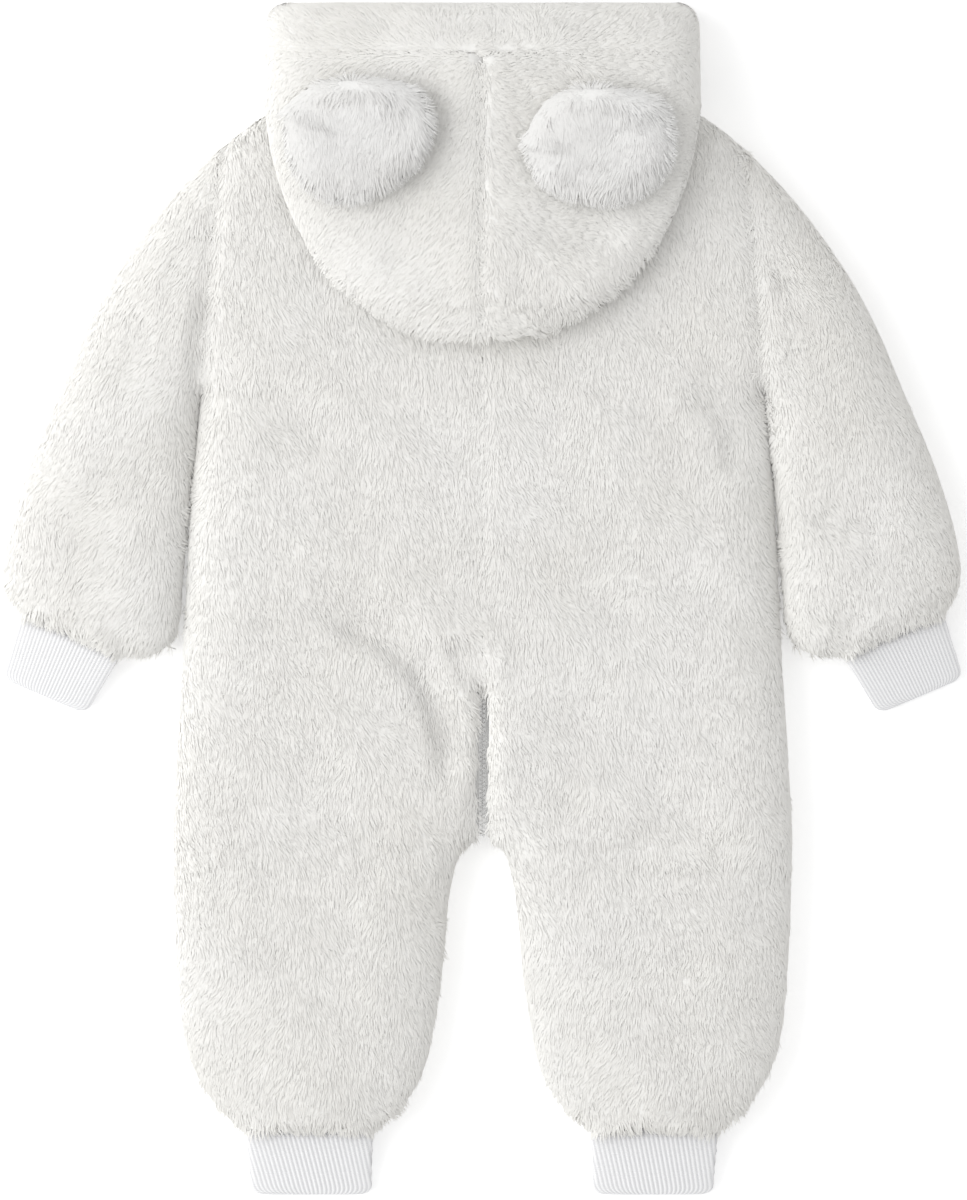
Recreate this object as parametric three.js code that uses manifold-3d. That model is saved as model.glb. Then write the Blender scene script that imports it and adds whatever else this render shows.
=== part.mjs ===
import * as THREE from "three";
import { mergeVertices } from "three/addons/utils/BufferGeometryUtils.js";
import Module from "manifold-3d";

// A baby's hooded fleece snowsuit laid on its front, back up. Millimetres, +X wearer's right, +Y head, +Z up.
// The origin is on the surface it lies on, below the middle of its outline.
const wasm = await Module();
wasm.setup();

// Heights through the suit: front panels below, back panels above, a flat slit between them
const SEAM_GAP = 0.3;
const SUIT_TOP = 33;
const SEAM_HEIGHT = 16;
const SEAM_EDGE = 1.3;
const SLIT = 3;
const SEAM_ALLOWANCE = 13;
const EDGE_ROUND = 35;
const LEG_ROUND = 52;
const UNDER_ROUND = 15;

// Hood: an under layer on the back, a fold round its rim and an upper layer
const HOOD_BASE = 33.3;
const HOOD_UNDER = 9;
const HOOD_UPPER = 14;
const HOOD_TOP = 59;
const HOOD_TOP_AT_OPENING = 38;
const HOOD_ROUND = 30;
const HOOD_WIDEST = 124;
const HOOD_END = 339.7;
const HOOD_CORNER = 15;
const BAND_SEAM = 309.5;
const NECK_TO_DROOP = 288;

// Ears, cuffs and zip
const EAR_THICK = 20;
const EAR_EDGE = 1.2;
const CUFF_THICK = 6.4;
const CUFF_WALL = 2.3;
const CUFF_END_HEIGHT = 3.9;
const RIB_HEIGHT = 0.55;
const LEG_RIBS_A_SIDE = 22;
const SLEEVE_RIBS_A_SIDE = 25;
const ZIP_SLOT = 6.6;
const PULL_SLOT = 13;
const ZIP_TOP_ON_BACK = -51;
const CROTCH = -135.7;
const THROAT = 250.8;

// Outlines of the right half, from head to foot
const BACK_NECK = [
  { x: 0, y: 285 },
  { x: 40, y: 288 },
  { x: 74, y: 297.5 },
];
const FRONT_NECK = [
  { x: 0, y: THROAT },
  { x: 34, y: 256 },
  { x: 60, y: 274 },
  { x: 74, y: 297.5 },
];
const SHOULDER = [
  { x: 74, y: 297.5 },
  { x: 102, y: 288 },
  { x: 128.8, y: 273.6 },
  { x: 149.5, y: 257.3 },
];
const ARMHOLE = [
  { x: 149.5, y: 257.3 },
  { x: 160.2, y: 118 },
];
const SIDE = [
  { x: 160.2, y: 118 },
  { x: 165.9, y: 57 },
  { x: 169.5, y: -15 },
  { x: 174.4, y: -91 },
  { x: 176.4, y: -150 },
  { x: 172.7, y: -228 },
  { x: 166.2, y: -262 },
  { x: 153, y: -286 },
  { x: 137, y: -301 },
];
const INSEAM = [
  { x: ZIP_SLOT / 2, y: CROTCH },
  { x: 9.5, y: -140.5 },
  { x: 14.3, y: -148.2 },
  { x: 19.1, y: -171 },
  { x: 23.7, y: -216.6 },
  { x: 31.6, y: -262.2 },
  { x: 44, y: -286 },
  { x: 60, y: -301 },
];
const SLEEVE_OUTER = [
  { x: 149.8, y: 257.3 },
  { x: 177.3, y: 228 },
  { x: 202.9, y: 193.8 },
  { x: 222.6, y: 159.6 },
  { x: 242, y: 114 },
  { x: 256.5, y: 79.8 },
  { x: 267.6, y: 45.6 },
  { x: 272.5, y: 19 },
  { x: 270.5, y: 5 },
  { x: 264.5, y: -5.5 },
];
const SLEEVE_INNER = [
  { x: 160.5, y: 118 },
  { x: 167, y: 57 },
  { x: 170.9, y: 12 },
  { x: 172.4, y: -10 },
  { x: 178, y: -24 },
  { x: 188.5, y: -30.5 },
  { x: 203.5, y: -31.5 },
];
const HOOD_RIM = [
  { x: 124, y: 280 },
  { x: 119.1, y: 251.4 },
  { x: 114, y: 232.6 },
  { x: 106, y: 213.2 },
  { x: 96.9, y: 198.4 },
  { x: 85.5, y: 183.5 },
  { x: 71.8, y: 171.6 },
  { x: 55.9, y: 160.7 },
  { x: 39.9, y: 152.8 },
  { x: 22.8, y: 147.6 },
  { x: 0, y: 144.8 },
];
// Where the hood's under layer ends at the front of the neck
const HOOD_UNDER_END = [
  { x: 0, y: 285 },
  { x: 74, y: 297.5 },
  { x: 80, y: 309 },
  { x: 84, y: 340 },
];

// The largest folds on the back, as troughs from a first point through a bend to an end
const FOLDS = [
  { from: [-104, -1], bend: [-38, -38], to: [-16, -112], depth: 5, width: 12 },
  { from: [-17, -18], bend: [-11, -36], to: [-6, -52], depth: 2.5, width: 8 },
  { from: [30, -58], bend: [70, -84], to: [32, -110], depth: 3, width: 11 },
  { from: [104, -66], bend: [107, -100], to: [96, -148], depth: 3, width: 11 },
  { from: [112, 120], bend: [136, 106], to: [148, 66], depth: 3, width: 10 },
  { from: [-152, 178], bend: [-160, 150], to: [-156, 112], depth: 3, width: 9 },
  { from: [176, 60], bend: [200, 46], to: [236, 50], depth: 2.5, width: 10 },
  { from: [-178, 74], bend: [-204, 58], to: [-232, 66], depth: 2.5, width: 10 },
];

// Shaping helpers
const clamp = (t) => Math.min(1, Math.max(0, t));
const smooth = (t) => clamp(t) ** 2 * (3 - 2 * clamp(t));
const roundOff = (t) => Math.sqrt(1 - (1 - clamp(t)) ** 2);
const mix = (a, b, t) => a + (b - a) * t;
const point = (x, y, z) => new THREE.Vector3(x, y, z);

// Steps from 0 to 1, closest together at both ends
const easedSteps = (count) =>
  Array.from({ length: count + 1 }, (_, i) => 0.5 - 0.5 * Math.cos((Math.PI * i) / count));

// A smooth line through a few points, as evenly spaced points
function smoothLine(points, count = 90) {
  const corners = points.map((p) => new THREE.Vector2(p.x, p.y));
  return new THREE.SplineCurve(corners).getSpacedPoints(count);
}

// The x of a line that runs down the suit, at a height y
function xAt(line, y) {
  const next = line.findIndex((p) => p.y <= y);
  if (next === 0) return line[0].x;
  if (next < 0) return line[line.length - 1].x;
  const a = line[next - 1];
  const b = line[next];
  return mix(a.x, b.x, (y - a.y) / (b.y - a.y));
}

// The y of a line that runs outward, at a distance x
function yAt(line, x) {
  const next = line.findIndex((p) => p.x >= x);
  if (next === 0) return line[0].y;
  if (next < 0) return line[line.length - 1].y;
  const a = line[next - 1];
  const b = line[next];
  return mix(a.y, b.y, (x - a.x) / (b.x - a.x));
}

// The distance in plan from a place to the nearest of some lines
function distanceTo(lines, x, y) {
  let best = Infinity;
  for (const line of lines) {
    for (let i = 1; i < line.length; i++) {
      const a = line[i - 1];
      const dx = line[i].x - a.x;
      const dy = line[i].y - a.y;
      const t = clamp(((x - a.x) * dx + (y - a.y) * dy) / (dx * dx + dy * dy || 1));
      best = Math.min(best, Math.hypot(x - a.x - t * dx, y - a.y - t * dy));
    }
  }
  return best;
}

const backTop = [...smoothLine(BACK_NECK, 30), ...smoothLine(SHOULDER, 50).slice(1)];
const frontTop = [...smoothLine(FRONT_NECK, 40), ...smoothLine(SHOULDER, 50).slice(1)];
const armhole = smoothLine(ARMHOLE, 2);
const side = smoothLine(SIDE);
const inseam = smoothLine(INSEAM);
const sleeveOuter = smoothLine(SLEEVE_OUTER);
const sleeveInner = smoothLine(SLEEVE_INNER);
const hoodRim = [{ x: HOOD_WIDEST, y: 330 }, ...smoothLine(HOOD_RIM)];
const underEnd = HOOD_UNDER_END;
// The fleece rounds off a little past its mouths, so that they keep some thickness
const MOUTH_OVERHANG = 3;
const legMouth = [
  { x: 60, y: -301 - MOUTH_OVERHANG },
  { x: 137, y: -301 - MOUTH_OVERHANG },
];
const sleeveMouth = [
  { x: 204.7, y: -34.2 },
  { x: 265.7, y: -8.2 },
];
const sharedEdges = [side, inseam, sleeveOuter, sleeveInner, legMouth, sleeveMouth];
const backEdges = [backTop, ...sharedEdges];
const frontEdges = [frontTop, ...sharedEdges];
const sewnEdges = [smoothLine(SHOULDER, 50), side, inseam];
const zipSlot = [
  { x: 0, y: ZIP_TOP_ON_BACK },
  { x: 0, y: CROTCH },
];
const folds = FOLDS.map((fold) => ({
  ...fold,
  line: smoothLine([fold.from, fold.bend, fold.to].map(([x, y]) => ({ x, y })), 16),
}));

// How deep the folds are at a place: each is a bell across its line
const foldDepth = (x, y) =>
  folds.reduce(
    (sum, fold) => sum + fold.depth * Math.exp(-((distanceTo([fold.line], x, y) / fold.width) ** 2)),
    0,
  );

// The suit's top surface: a quarter ellipse in from its outline, less its folds, seams and zip hollow
function backHeight(x, y) {
  const across = Math.abs(x);
  const spread = mix(EDGE_ROUND, LEG_ROUND, smooth((-120 - y) / 110));
  const edge = roundOff(distanceTo(backEdges, across, y) / spread);
  const armholeSeam = 2 * Math.exp(-((distanceTo([armhole], across, y) / 6) ** 2));
  const centreSeam = y > ZIP_TOP_ON_BACK ? 1.2 * Math.exp(-((across / 5) ** 2)) : 0;
  const zipHollow = 9 * (1 - roundOff(distanceTo([zipSlot], across, y) / 16));
  const low = SEAM_HEIGHT + SEAM_EDGE;
  const dents = (foldDepth(x, y) + armholeSeam + centreSeam + zipHollow) * edge;
  return low + (SUIT_TOP - low) * edge - dents;
}

// The suit's underside: flat on the surface, curling up to the seam at its outline
const frontHeight = (x, y) =>
  (SEAM_HEIGHT - SEAM_EDGE) * (1 - roundOff(distanceTo(frontEdges, Math.abs(x), y) / UNDER_ROUND));

// The inner faces lie together in the seam allowance and part into the slit behind it
function innerHeight(x, y, way) {
  const opened = smooth((distanceTo(sewnEdges, Math.abs(x), y) - SEAM_ALLOWANCE) / 5);
  return SEAM_HEIGHT + way * mix(SEAM_GAP / 2, SLIT / 2, opened);
}

// Solids from rings and grids
function closedSolid(positions, faces) {
  const geometry = new THREE.BufferGeometry();
  geometry.setAttribute(
    "position",
    new THREE.Float32BufferAttribute(positions.flatMap((p) => [p.x, p.y, p.z]), 3),
  );
  const volume = faces.reduce(
    (sum, [a, b, c]) => sum + positions[a].dot(positions[b].clone().cross(positions[c])),
    0,
  );
  geometry.setIndex(faces.flatMap(([a, b, c]) => (volume > 0 ? [a, b, c] : [a, c, b])));
  const merged = mergeVertices(geometry, 1e-3);
  merged.computeVertexNormals();
  return merged;
}

// A wall between two grids of points. A closed end has its two layers' last rows stitched together.
function wallBetween(outer, inner, { closedEnd = false, ring = false } = {}) {
  const rows = outer.length;
  const columns = outer[0].length;
  const positions = [...outer.flat(), ...inner.flat()];
  const faces = [];
  const at = (layer, row, column) => (layer * rows + row) * columns + (column % columns);
  const quad = (a, b, c, d) => faces.push([a, b, c], [a, c, d]);
  const strips = ring ? columns : columns - 1;
  for (let i = 0; i + 1 < rows; i++) {
    for (let j = 0; j < strips; j++) {
      quad(at(0, i, j), at(0, i + 1, j), at(0, i + 1, j + 1), at(0, i, j + 1));
      quad(at(1, i, j), at(1, i, j + 1), at(1, i + 1, j + 1), at(1, i + 1, j));
    }
    if (!ring) {
      const end = columns - 1;
      quad(at(0, i, 0), at(1, i, 0), at(1, i + 1, 0), at(0, i + 1, 0));
      quad(at(0, i, end), at(0, i + 1, end), at(1, i + 1, end), at(1, i, end));
    }
  }
  for (let j = 0; j < strips; j++) {
    const last = rows - 1;
    quad(at(0, 0, j), at(0, 0, j + 1), at(1, 0, j + 1), at(1, 0, j));
    if (!closedEnd) quad(at(0, last, j), at(1, last, j), at(1, last, j + 1), at(0, last, j + 1));
  }
  return closedSolid(positions, faces);
}

// A solid through rings of equal count, closed by a flat fan at each end
function loft(rings) {
  const count = rings[0].length;
  const faces = [];
  for (let i = 0; i + 1 < rings.length; i++) {
    for (let j = 0; j < count; j++) {
      const k = (j + 1) % count;
      const [a, b] = [i * count + j, (i + 1) * count + j];
      const [c, d] = [(i + 1) * count + k, i * count + k];
      faces.push([a, b, c], [a, c, d]);
    }
  }
  const end = (rings.length - 1) * count;
  for (let j = 1; j + 1 < count; j++) {
    faces.push([0, j, j + 1], [end, end + j + 1, end + j]);
  }
  return closedSolid(rings.flat(), faces);
}

// Materials
const cloth = (colour, roughness) =>
  new THREE.MeshStandardMaterial({ color: colour, roughness, metalness: 0 });
const suit = new THREE.Group();
function add(name, geometry, colour, roughness = 0.95) {
  const mesh = new THREE.Mesh(geometry, cloth(colour, roughness));
  mesh.name = name;
  suit.add(mesh);
}
const FLEECE = "#e9e7e2";
const EAR_FLEECE = "#f0efec";
const RIB_KNIT = "#efeff1";
const ZIP_TAPE = "#f2f2f0";
const ZIP_PLASTIC = "#e6e6e4";
const SIDES = [
  { name: "left", sign: -1 },
  { name: "right", sign: 1 },
];

// Body panels: rows down the suit from the centre line or inseam to the shoulder, armhole and side
const BACK_ROWS = [
  { inner: 285, outer: 257.3 },
  { inner: 282, outer: 254 },
  { inner: 274, outer: 246 },
  { inner: 261, outer: 233 },
  { inner: 240, outer: 215 },
  { inner: 210, outer: 190 },
  { inner: 175, outer: 160 },
  { inner: 142, outer: 134 },
  ...[118, 92, 62, 34, 8, -16, -36, -51, -54, -72, -90, -106, -119, -129].map((y) => ({ inner: y, outer: y })),
  ...[-135.7, -140.5, -148.2, -160, -178, -200, -222, -243, -261, -275, -286, -295, -301].map((y) => ({
    inner: y,
    outer: y,
  })),
];
const FRONT_ROWS = [
  { inner: THROAT, outer: 257.3 },
  { inner: 244, outer: 250 },
  { inner: 232, outer: 238 },
  { inner: 208, outer: 212 },
  { inner: 200, outer: 203 },
  ...[165, 118, 70, 20, -30, -75, -110, -128, -135.7, -140.5, -148.2, -165].map((y) => ({ inner: y, outer: y })),
  ...[-190, -220, -248, -268, -286, -295, -301].map((y) => ({ inner: y, outer: y })),
];

const centreOfBack = (y) => (y > ZIP_TOP_ON_BACK - 1 ? SEAM_GAP / 2 : ZIP_SLOT / 2);
const centreOfFront = (y) => (y > 205 ? PULL_SLOT / 2 : ZIP_SLOT / 2);

// Plan of a panel: straight rows, bowed near the top to follow the neck and shoulder
function panelPlan(rows, columns, top, centre) {
  const first = rows[0];
  const steps = easedSteps(columns);
  const endOfTop = SHOULDER[3].x;
  return rows.map((row) => {
    const from = row.inner < CROTCH ? xAt(inseam, row.inner) : centre(row.inner);
    const to = row.outer > ARMHOLE[1].y ? xAt(armhole, row.outer) : xAt(side, row.outer);
    const fade = 1 - smooth((first.inner - row.inner) / 150);
    return steps.map((t) => {
      const straight = mix(first.inner, first.outer, t);
      const bow = yAt(top, mix(centre(first.inner), endOfTop, t)) - straight;
      const ends = t === 0 || t === 1 ? 0 : 1;
      return { x: mix(from, to, t), y: mix(row.inner, row.outer, t) + bow * fade * ends };
    });
  });
}

function bodyPanel(rows, columns, top, centre, sign, outside, way) {
  const plan = panelPlan(rows, columns, top, centre);
  const outer = plan.map((row) => row.map((p) => point(sign * p.x, p.y, outside(sign * p.x, p.y))));
  const inner = plan.map((row) => row.map((p) => point(sign * p.x, p.y, innerHeight(p.x, p.y, way))));
  return wallBetween(outer, inner);
}

for (const { name, sign } of SIDES) {
  add(`back_${name}`, bodyPanel(BACK_ROWS, 13, backTop, centreOfBack, sign, backHeight, 1), FLEECE);
  add(`front_${name}`, bodyPanel(FRONT_ROWS, 9, frontTop, centreOfFront, sign, frontHeight, -1), FLEECE);
}

// Sleeves: rings from the armhole to the cuff, at these shares of the inner and outer edges
const SLEEVE_RINGS = [
  { inner: 0, outer: 0 },
  { inner: 0.04, outer: 0.07 },
  { inner: 0.12, outer: 0.17 },
  { inner: 0.22, outer: 0.28 },
  { inner: 0.34, outer: 0.4 },
  { inner: 0.46, outer: 0.52 },
  { inner: 0.57, outer: 0.63 },
  { inner: 0.66, outer: 0.73 },
  { inner: 0.73, outer: 0.81 },
  { inner: 0.8, outer: 0.88 },
  { inner: 0.87, outer: 0.935 },
  { inner: 0.94, outer: 0.975 },
  { inner: 1, outer: 1 },
];
const SLEEVE_COLUMNS = 10;

function sleeve(sign) {
  const innerEdge = new THREE.SplineCurve(SLEEVE_INNER.map((p) => new THREE.Vector2(p.x, p.y)));
  const outerEdge = new THREE.SplineCurve(SLEEVE_OUTER.map((p) => new THREE.Vector2(p.x, p.y)));
  const steps = easedSteps(SLEEVE_COLUMNS);
  const outside = [];
  const inside = [];
  for (const ring of SLEEVE_RINGS) {
    const a = innerEdge.getPointAt(ring.inner);
    const b = outerEdge.getPointAt(ring.outer);
    const inset = b.clone().sub(a).setLength(SEAM_ALLOWANCE);
    const a2 = a.clone().add(inset);
    const b2 = b.clone().sub(inset);
    const over = steps.map((t) => a.clone().lerp(b, t));
    const within = steps.map((t) => a2.clone().lerp(b2, t));
    const under = [...over].reverse();
    const withinUnder = [...within].reverse();
    outside.push([
      ...over.map((p) => point(sign * p.x, p.y, backHeight(sign * p.x, p.y))),
      ...under.map((p) => point(sign * p.x, p.y, frontHeight(p.x, p.y))),
    ]);
    inside.push([
      ...within.map((p) => point(sign * p.x, p.y, SEAM_HEIGHT + SLIT / 2)),
      ...withinUnder.map((p) => point(sign * p.x, p.y, SEAM_HEIGHT - SLIT / 2)),
    ]);
  }
  return wallBetween(outside, inside, { ring: true });
}

for (const { name, sign } of SIDES) add(`sleeve_${name}`, sleeve(sign), FLEECE);

// Ribbed cuffs: flattened tubes that slope down from the fleece's mouth to the surface
const LEG_CUFF = {
  top: [98.5, -301.4],
  end: [97.5, -339.7],
  across: [1, 0],
  widthAtTop: 73,
  widthAtEnd: 67,
  ribs: LEG_RIBS_A_SIDE,
};
const SLEEVE_CUFF = {
  top: [234.2, -19.1],
  end: [250.8, -54.8],
  across: [0.92, 0.392],
  widthAtTop: 62,
  widthAtEnd: 51.5,
  ribs: SLEEVE_RIBS_A_SIDE,
};

// One flattened ring: two straight runs joined by half circles, with ribs as an outward zigzag
function cuffRing(cuff, share, width, thick, ribHeight, sign) {
  const [x0, y0] = cuff.top;
  const [x1, y1] = cuff.end;
  const [acrossX, acrossY] = cuff.across;
  const z = mix(SEAM_HEIGHT, CUFF_END_HEIGHT, share);
  const count = cuff.ribs * 4;
  return Array.from({ length: count }, (_, i) => {
    const turn = (2 * Math.PI * (i + 0.5)) / count;
    const rise = Math.sign(Math.sin(turn)) * Math.abs(Math.sin(turn)) ** 0.3;
    const lift = i % 2 ? ribHeight : 0;
    const run = 1 - (2 * ((i + 0.5) % (count / 2))) / (count / 2);
    const out = (width / 2) * (i < count / 2 ? run : -run);
    const up = rise * (thick / 2 + lift);
    return point(sign * (mix(x0, x1, share) + acrossX * out), mix(y0, y1, share) + acrossY * out, z + up);
  });
}

function cuff(shape, sign) {
  const widthAt = (share) => mix(shape.widthAtTop, shape.widthAtEnd, share);
  const outer = [0, 0.94, 1].map((share) => {
    const hem = share === 1 ? 1.4 : 0;
    return cuffRing(shape, share, widthAt(share) - hem, CUFF_THICK - hem, RIB_HEIGHT, sign);
  });
  const inner = [0, 0.94, 1].map((share) =>
    cuffRing(shape, share, widthAt(share) - 2 * CUFF_WALL, CUFF_THICK - 2 * CUFF_WALL, 0, sign),
  );
  return wallBetween(outer, inner, { ring: true });
}

for (const { name, sign } of SIDES) {
  add(`cuff_leg_${name}`, cuff(LEG_CUFF, sign), RIB_KNIT, 0.85);
  add(`cuff_sleeve_${name}`, cuff(SLEEVE_CUFF, sign), RIB_KNIT, 0.85);
}

// Hood: rows across from the centre seam over the fold and back under to the neck
const HOOD_ROWS = [BAND_SEAM - SEAM_GAP / 2, 298, 291, 285, 268, 250, 232, 214, 198, 184, 172, 161, 153, 148.6];
const BAND_ROWS = [BAND_SEAM + SEAM_GAP / 2, 320, 330, 336, HOOD_END];
const HOOD_STEPS = [0, 0.02, 0.08, 0.22, 0.4, 0.58, 0.74, 0.86, 0.94, 0.985, 1];
const FOLD_INSET = 12;
const LIP_ROUND = 11;
const TIP = HOOD_RIM[10].y;

function hoodHalfWidth(y) {
  const intoCorner = Math.max(0, y - (HOOD_END - HOOD_CORNER));
  const corner = HOOD_CORNER - Math.sqrt(HOOD_CORNER ** 2 - Math.min(intoCorner, HOOD_CORNER) ** 2);
  return xAt(hoodRim, y) - corner;
}

// The under layer lies on the back panels and steps down past the shoulder to the surface
function hoodBase(x, y) {
  const inside = Math.sign(yAt(backTop, x) - y) * distanceTo([backTop], x, y);
  return HOOD_BASE * smooth((inside + 30) / 38);
}

const hoodTop = (y) =>
  mix(HOOD_TOP, HOOD_TOP_AT_OPENING, smooth((y - NECK_TO_DROOP) / (HOOD_END - NECK_TO_DROOP)));

// One section of the hood's right half, as matching outer and inner points
function hoodSection(y, centre, lip) {
  const width = hoodHalfWidth(y);
  const foldWidth = Math.min(FOLD_INSET, width / 2);
  const end = y > HOOD_UNDER_END[0].y ? Math.max(centre, xAt([...underEnd].reverse(), y)) : centre;
  const fold = (hoodBase(width, y) + hoodTop(y)) / 2;
  const slitMiddle = (hoodBase(width, y) + HOOD_UNDER + hoodTop(y) - HOOD_UPPER) / 2;
  const drop = lip ? (HOOD_UPPER - 2) * (1 - roundOff((HOOD_END - y) / LIP_ROUND)) : 0;
  const outer = [];
  const inner = [];
  for (const t of HOOD_STEPS) {
    const x = mix(centre, width, t);
    const edge = roundOff(distanceTo([hoodRim], x, y) / HOOD_ROUND) * (t < 1 ? 1 : 0);
    const seam = 1.5 * Math.exp(-((x / 4) ** 2)) * (lip ? 0 : 1);
    outer.push(point(x, y, mix(fold, hoodTop(y) - drop, edge) - seam * edge));
    const x2 = mix(centre, width - foldWidth, t);
    inner.push(point(x2, y, mix(slitMiddle, hoodTop(y) - HOOD_UPPER, roundOff((width - foldWidth - x2) / 8))));
  }
  for (const t of [...HOOD_STEPS].reverse().slice(1)) {
    const x = mix(end, width, t);
    const edge = roundOff(distanceTo([hoodRim], x, y) / FOLD_INSET);
    outer.push(point(x, y, mix(fold, hoodBase(x, y), edge)));
    const x2 = mix(end, width - foldWidth, t);
    const base = hoodBase(x2, y) + HOOD_UNDER;
    inner.push(point(x2, y, mix(slitMiddle, base, roundOff((width - foldWidth - x2) / 8))));
  }
  return { outer, inner };
}

const mirrored = (points) => points.map((p) => point(-p.x, p.y, p.z));

function hoodHalf(sign) {
  const sections = HOOD_ROWS.map((y) => hoodSection(y, SEAM_GAP / 2, false));
  const outer = sections.map((s) => s.outer);
  // The inside stops short of the rim, where the two layers are one fold
  const lowest = TIP + FOLD_INSET;
  const inner = sections.map((s, i) => {
    const lift = Math.max(0, lowest - HOOD_ROWS[i]) + (HOOD_ROWS[i] < 170 ? (170 - HOOD_ROWS[i]) * 0.12 : 0);
    return s.inner.map((p) => point(p.x, p.y + lift, p.z));
  });
  // The last row lies on the rim, with both layers on one line
  const middle = (HOOD_BASE + HOOD_TOP) / 2;
  const stitched = (from, to, z) => {
    const line = HOOD_STEPS.map((t) => point(mix(from.x, to.x, t), mix(from.y, to.y, t), z));
    return [...line, ...[...line].reverse().slice(1)];
  };
  outer.push(stitched({ x: SEAM_GAP / 2, y: TIP }, { x: 20, y: 147 }, middle));
  const innerEnd = { x: SEAM_GAP / 2, y: lowest - 1.5 };
  inner.push(stitched(innerEnd, { x: 10, y: lowest - 1 }, middle - 2));
  const place = (grid) => (sign > 0 ? grid : grid.map(mirrored));
  return wallBetween(place(outer), place(inner), { closedEnd: true });
}

function hoodBand() {
  const rows = BAND_ROWS.map((y) => {
    const { outer, inner } = hoodSection(y, 0, true);
    const whole = (half) => [...mirrored(half).reverse(), ...half.slice(1)];
    return { outer: whole(outer), inner: whole(inner) };
  });
  return wallBetween(rows.map((r) => r.outer), rows.map((r) => r.inner));
}

for (const { name, sign } of SIDES) add(`hood_${name}`, hoodHalf(sign), FLEECE);
add("hood_band", hoodBand(), FLEECE);

// Ears: a front and a back piece, each domed from a flat face where the two are sewn together
const EARS = [
  {
    name: "left",
    centre: [-70, 259],
    rim: [
      [-43, 20],
      [-24, 33],
      [2, 36],
      [30, 32],
      [42, 16],
      [40, -4],
      [26, -22],
      [0, -35],
      [-26, -30],
      [-40, -10],
    ],
  },
  {
    name: "right",
    centre: [65, 256],
    rim: [
      [-43, 4],
      [-36, 20],
      [-20, 32],
      [4, 34],
      [34, 28],
      [42, 12],
      [41, -12],
      [24, -29],
      [0, -33],
      [-32, -22],
    ],
  },
];
const EAR_RINGS = [0.45, 0.72, 0.88, 0.96, 1];
const EAR_POINTS = 26;
const EAR_BASE = HOOD_TOP + SEAM_GAP;

function earPiece(ear, flat, domed) {
  const rim = new THREE.SplineCurve(
    [...ear.rim, ear.rim[0]].map(([x, y]) => new THREE.Vector2(x, y)),
  ).getSpacedPoints(EAR_POINTS);
  rim.pop();
  const way = Math.sign(domed - flat);
  const heightAt = (share) => {
    const rise = Math.abs(domed - flat) - EAR_EDGE;
    return flat + way * (EAR_EDGE + rise * roundOff((1 - share) / 0.5));
  };
  const [cx, cy] = ear.centre;
  const positions = [point(cx, cy, domed), point(cx, cy, flat)];
  for (const share of EAR_RINGS) {
    for (const p of rim) positions.push(point(cx + p.x * share, cy + p.y * share, heightAt(share)));
  }
  for (const p of rim) positions.push(point(cx + p.x, cy + p.y, flat));
  const faces = [];
  const at = (ring, i) => 2 + ring * EAR_POINTS + (i % EAR_POINTS);
  const last = EAR_RINGS.length;
  for (let i = 0; i < EAR_POINTS; i++) {
    faces.push([0, at(0, i), at(0, i + 1)], [1, at(last, i + 1), at(last, i)]);
    for (let ring = 0; ring < last; ring++) {
      faces.push([at(ring, i), at(ring + 1, i), at(ring + 1, i + 1)]);
      faces.push([at(ring, i), at(ring + 1, i + 1), at(ring, i + 1)]);
    }
  }
  return closedSolid(positions, faces);
}

for (const ear of EARS) {
  const middle = EAR_BASE + EAR_THICK / 2;
  add(`ear_${ear.name}_front`, earPiece(ear, middle + SEAM_GAP / 2, EAR_BASE + EAR_THICK), EAR_FLEECE);
  add(`ear_${ear.name}_back`, earPiece(ear, middle - SEAM_GAP / 2, EAR_BASE), EAR_FLEECE);
}

// Zip: tapes and teeth run down the front, turn at the crotch and come up the back
const TAPE_THICK = 0.6;
const TAPE_REACH = 14;
const TEETH_WIDTH = 3;
const TEETH_THICK = 2.2;
const TAPE_ROUTE = [
  { y: THROAT - 2, z: 15.1, reach: TAPE_REACH },
  { y: -107, z: 15.1, reach: TAPE_REACH },
  { y: -110, z: 15.1, reach: 3 },
  { y: -133.4, z: 15.1, reach: 3 },
  { y: -134.4, z: 16, reach: 3 },
  { y: -133.4, z: 16.9, reach: 3 },
  { y: -110, z: 16.9, reach: 3 },
  { y: -107, z: 16.9, reach: TAPE_REACH },
  { y: ZIP_TOP_ON_BACK + 8, z: 16.9, reach: TAPE_REACH },
];
const TEETH_ROUTE = [
  { y: THROAT - 3, z: 14.4 },
  { y: -132, z: 14.4 },
  { y: -133.6, z: 15.1 },
  { y: -134.2, z: 16 },
  { y: -133.6, z: 16.9 },
  { y: -132, z: 17.6 },
  { y: ZIP_TOP_ON_BACK - 3.6, z: 17.6 },
];

// A flat strip along a route in the middle plane, between two distances from that plane
function strip(route, thick, edgesAt) {
  const rings = route.map((station, i) => {
    const before = route[Math.max(0, i - 1)];
    const after = route[Math.min(route.length - 1, i + 1)];
    const along = new THREE.Vector2(after.y - before.y, after.z - before.z).normalize();
    const half = thick / 2;
    const [from, to] = edgesAt(station);
    const corner = (x, way) => point(x, station.y - way * half * along.y, station.z + way * half * along.x);
    return [corner(from, 1), corner(to, 1), corner(to, -1), corner(from, -1)];
  });
  return loft(rings);
}

for (const { name, sign } of SIDES) {
  const edges = (station) => [sign * (TEETH_WIDTH / 2 + SEAM_GAP), sign * station.reach];
  add(`zip_tape_${name}`, strip(TAPE_ROUTE, TAPE_THICK, edges), ZIP_TAPE, 0.8);
}
add(
  "zip_chain",
  strip(TEETH_ROUTE, TEETH_THICK, () => [-TEETH_WIDTH / 2, TEETH_WIDTH / 2]),
  ZIP_PLASTIC,
  0.5,
);

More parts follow.
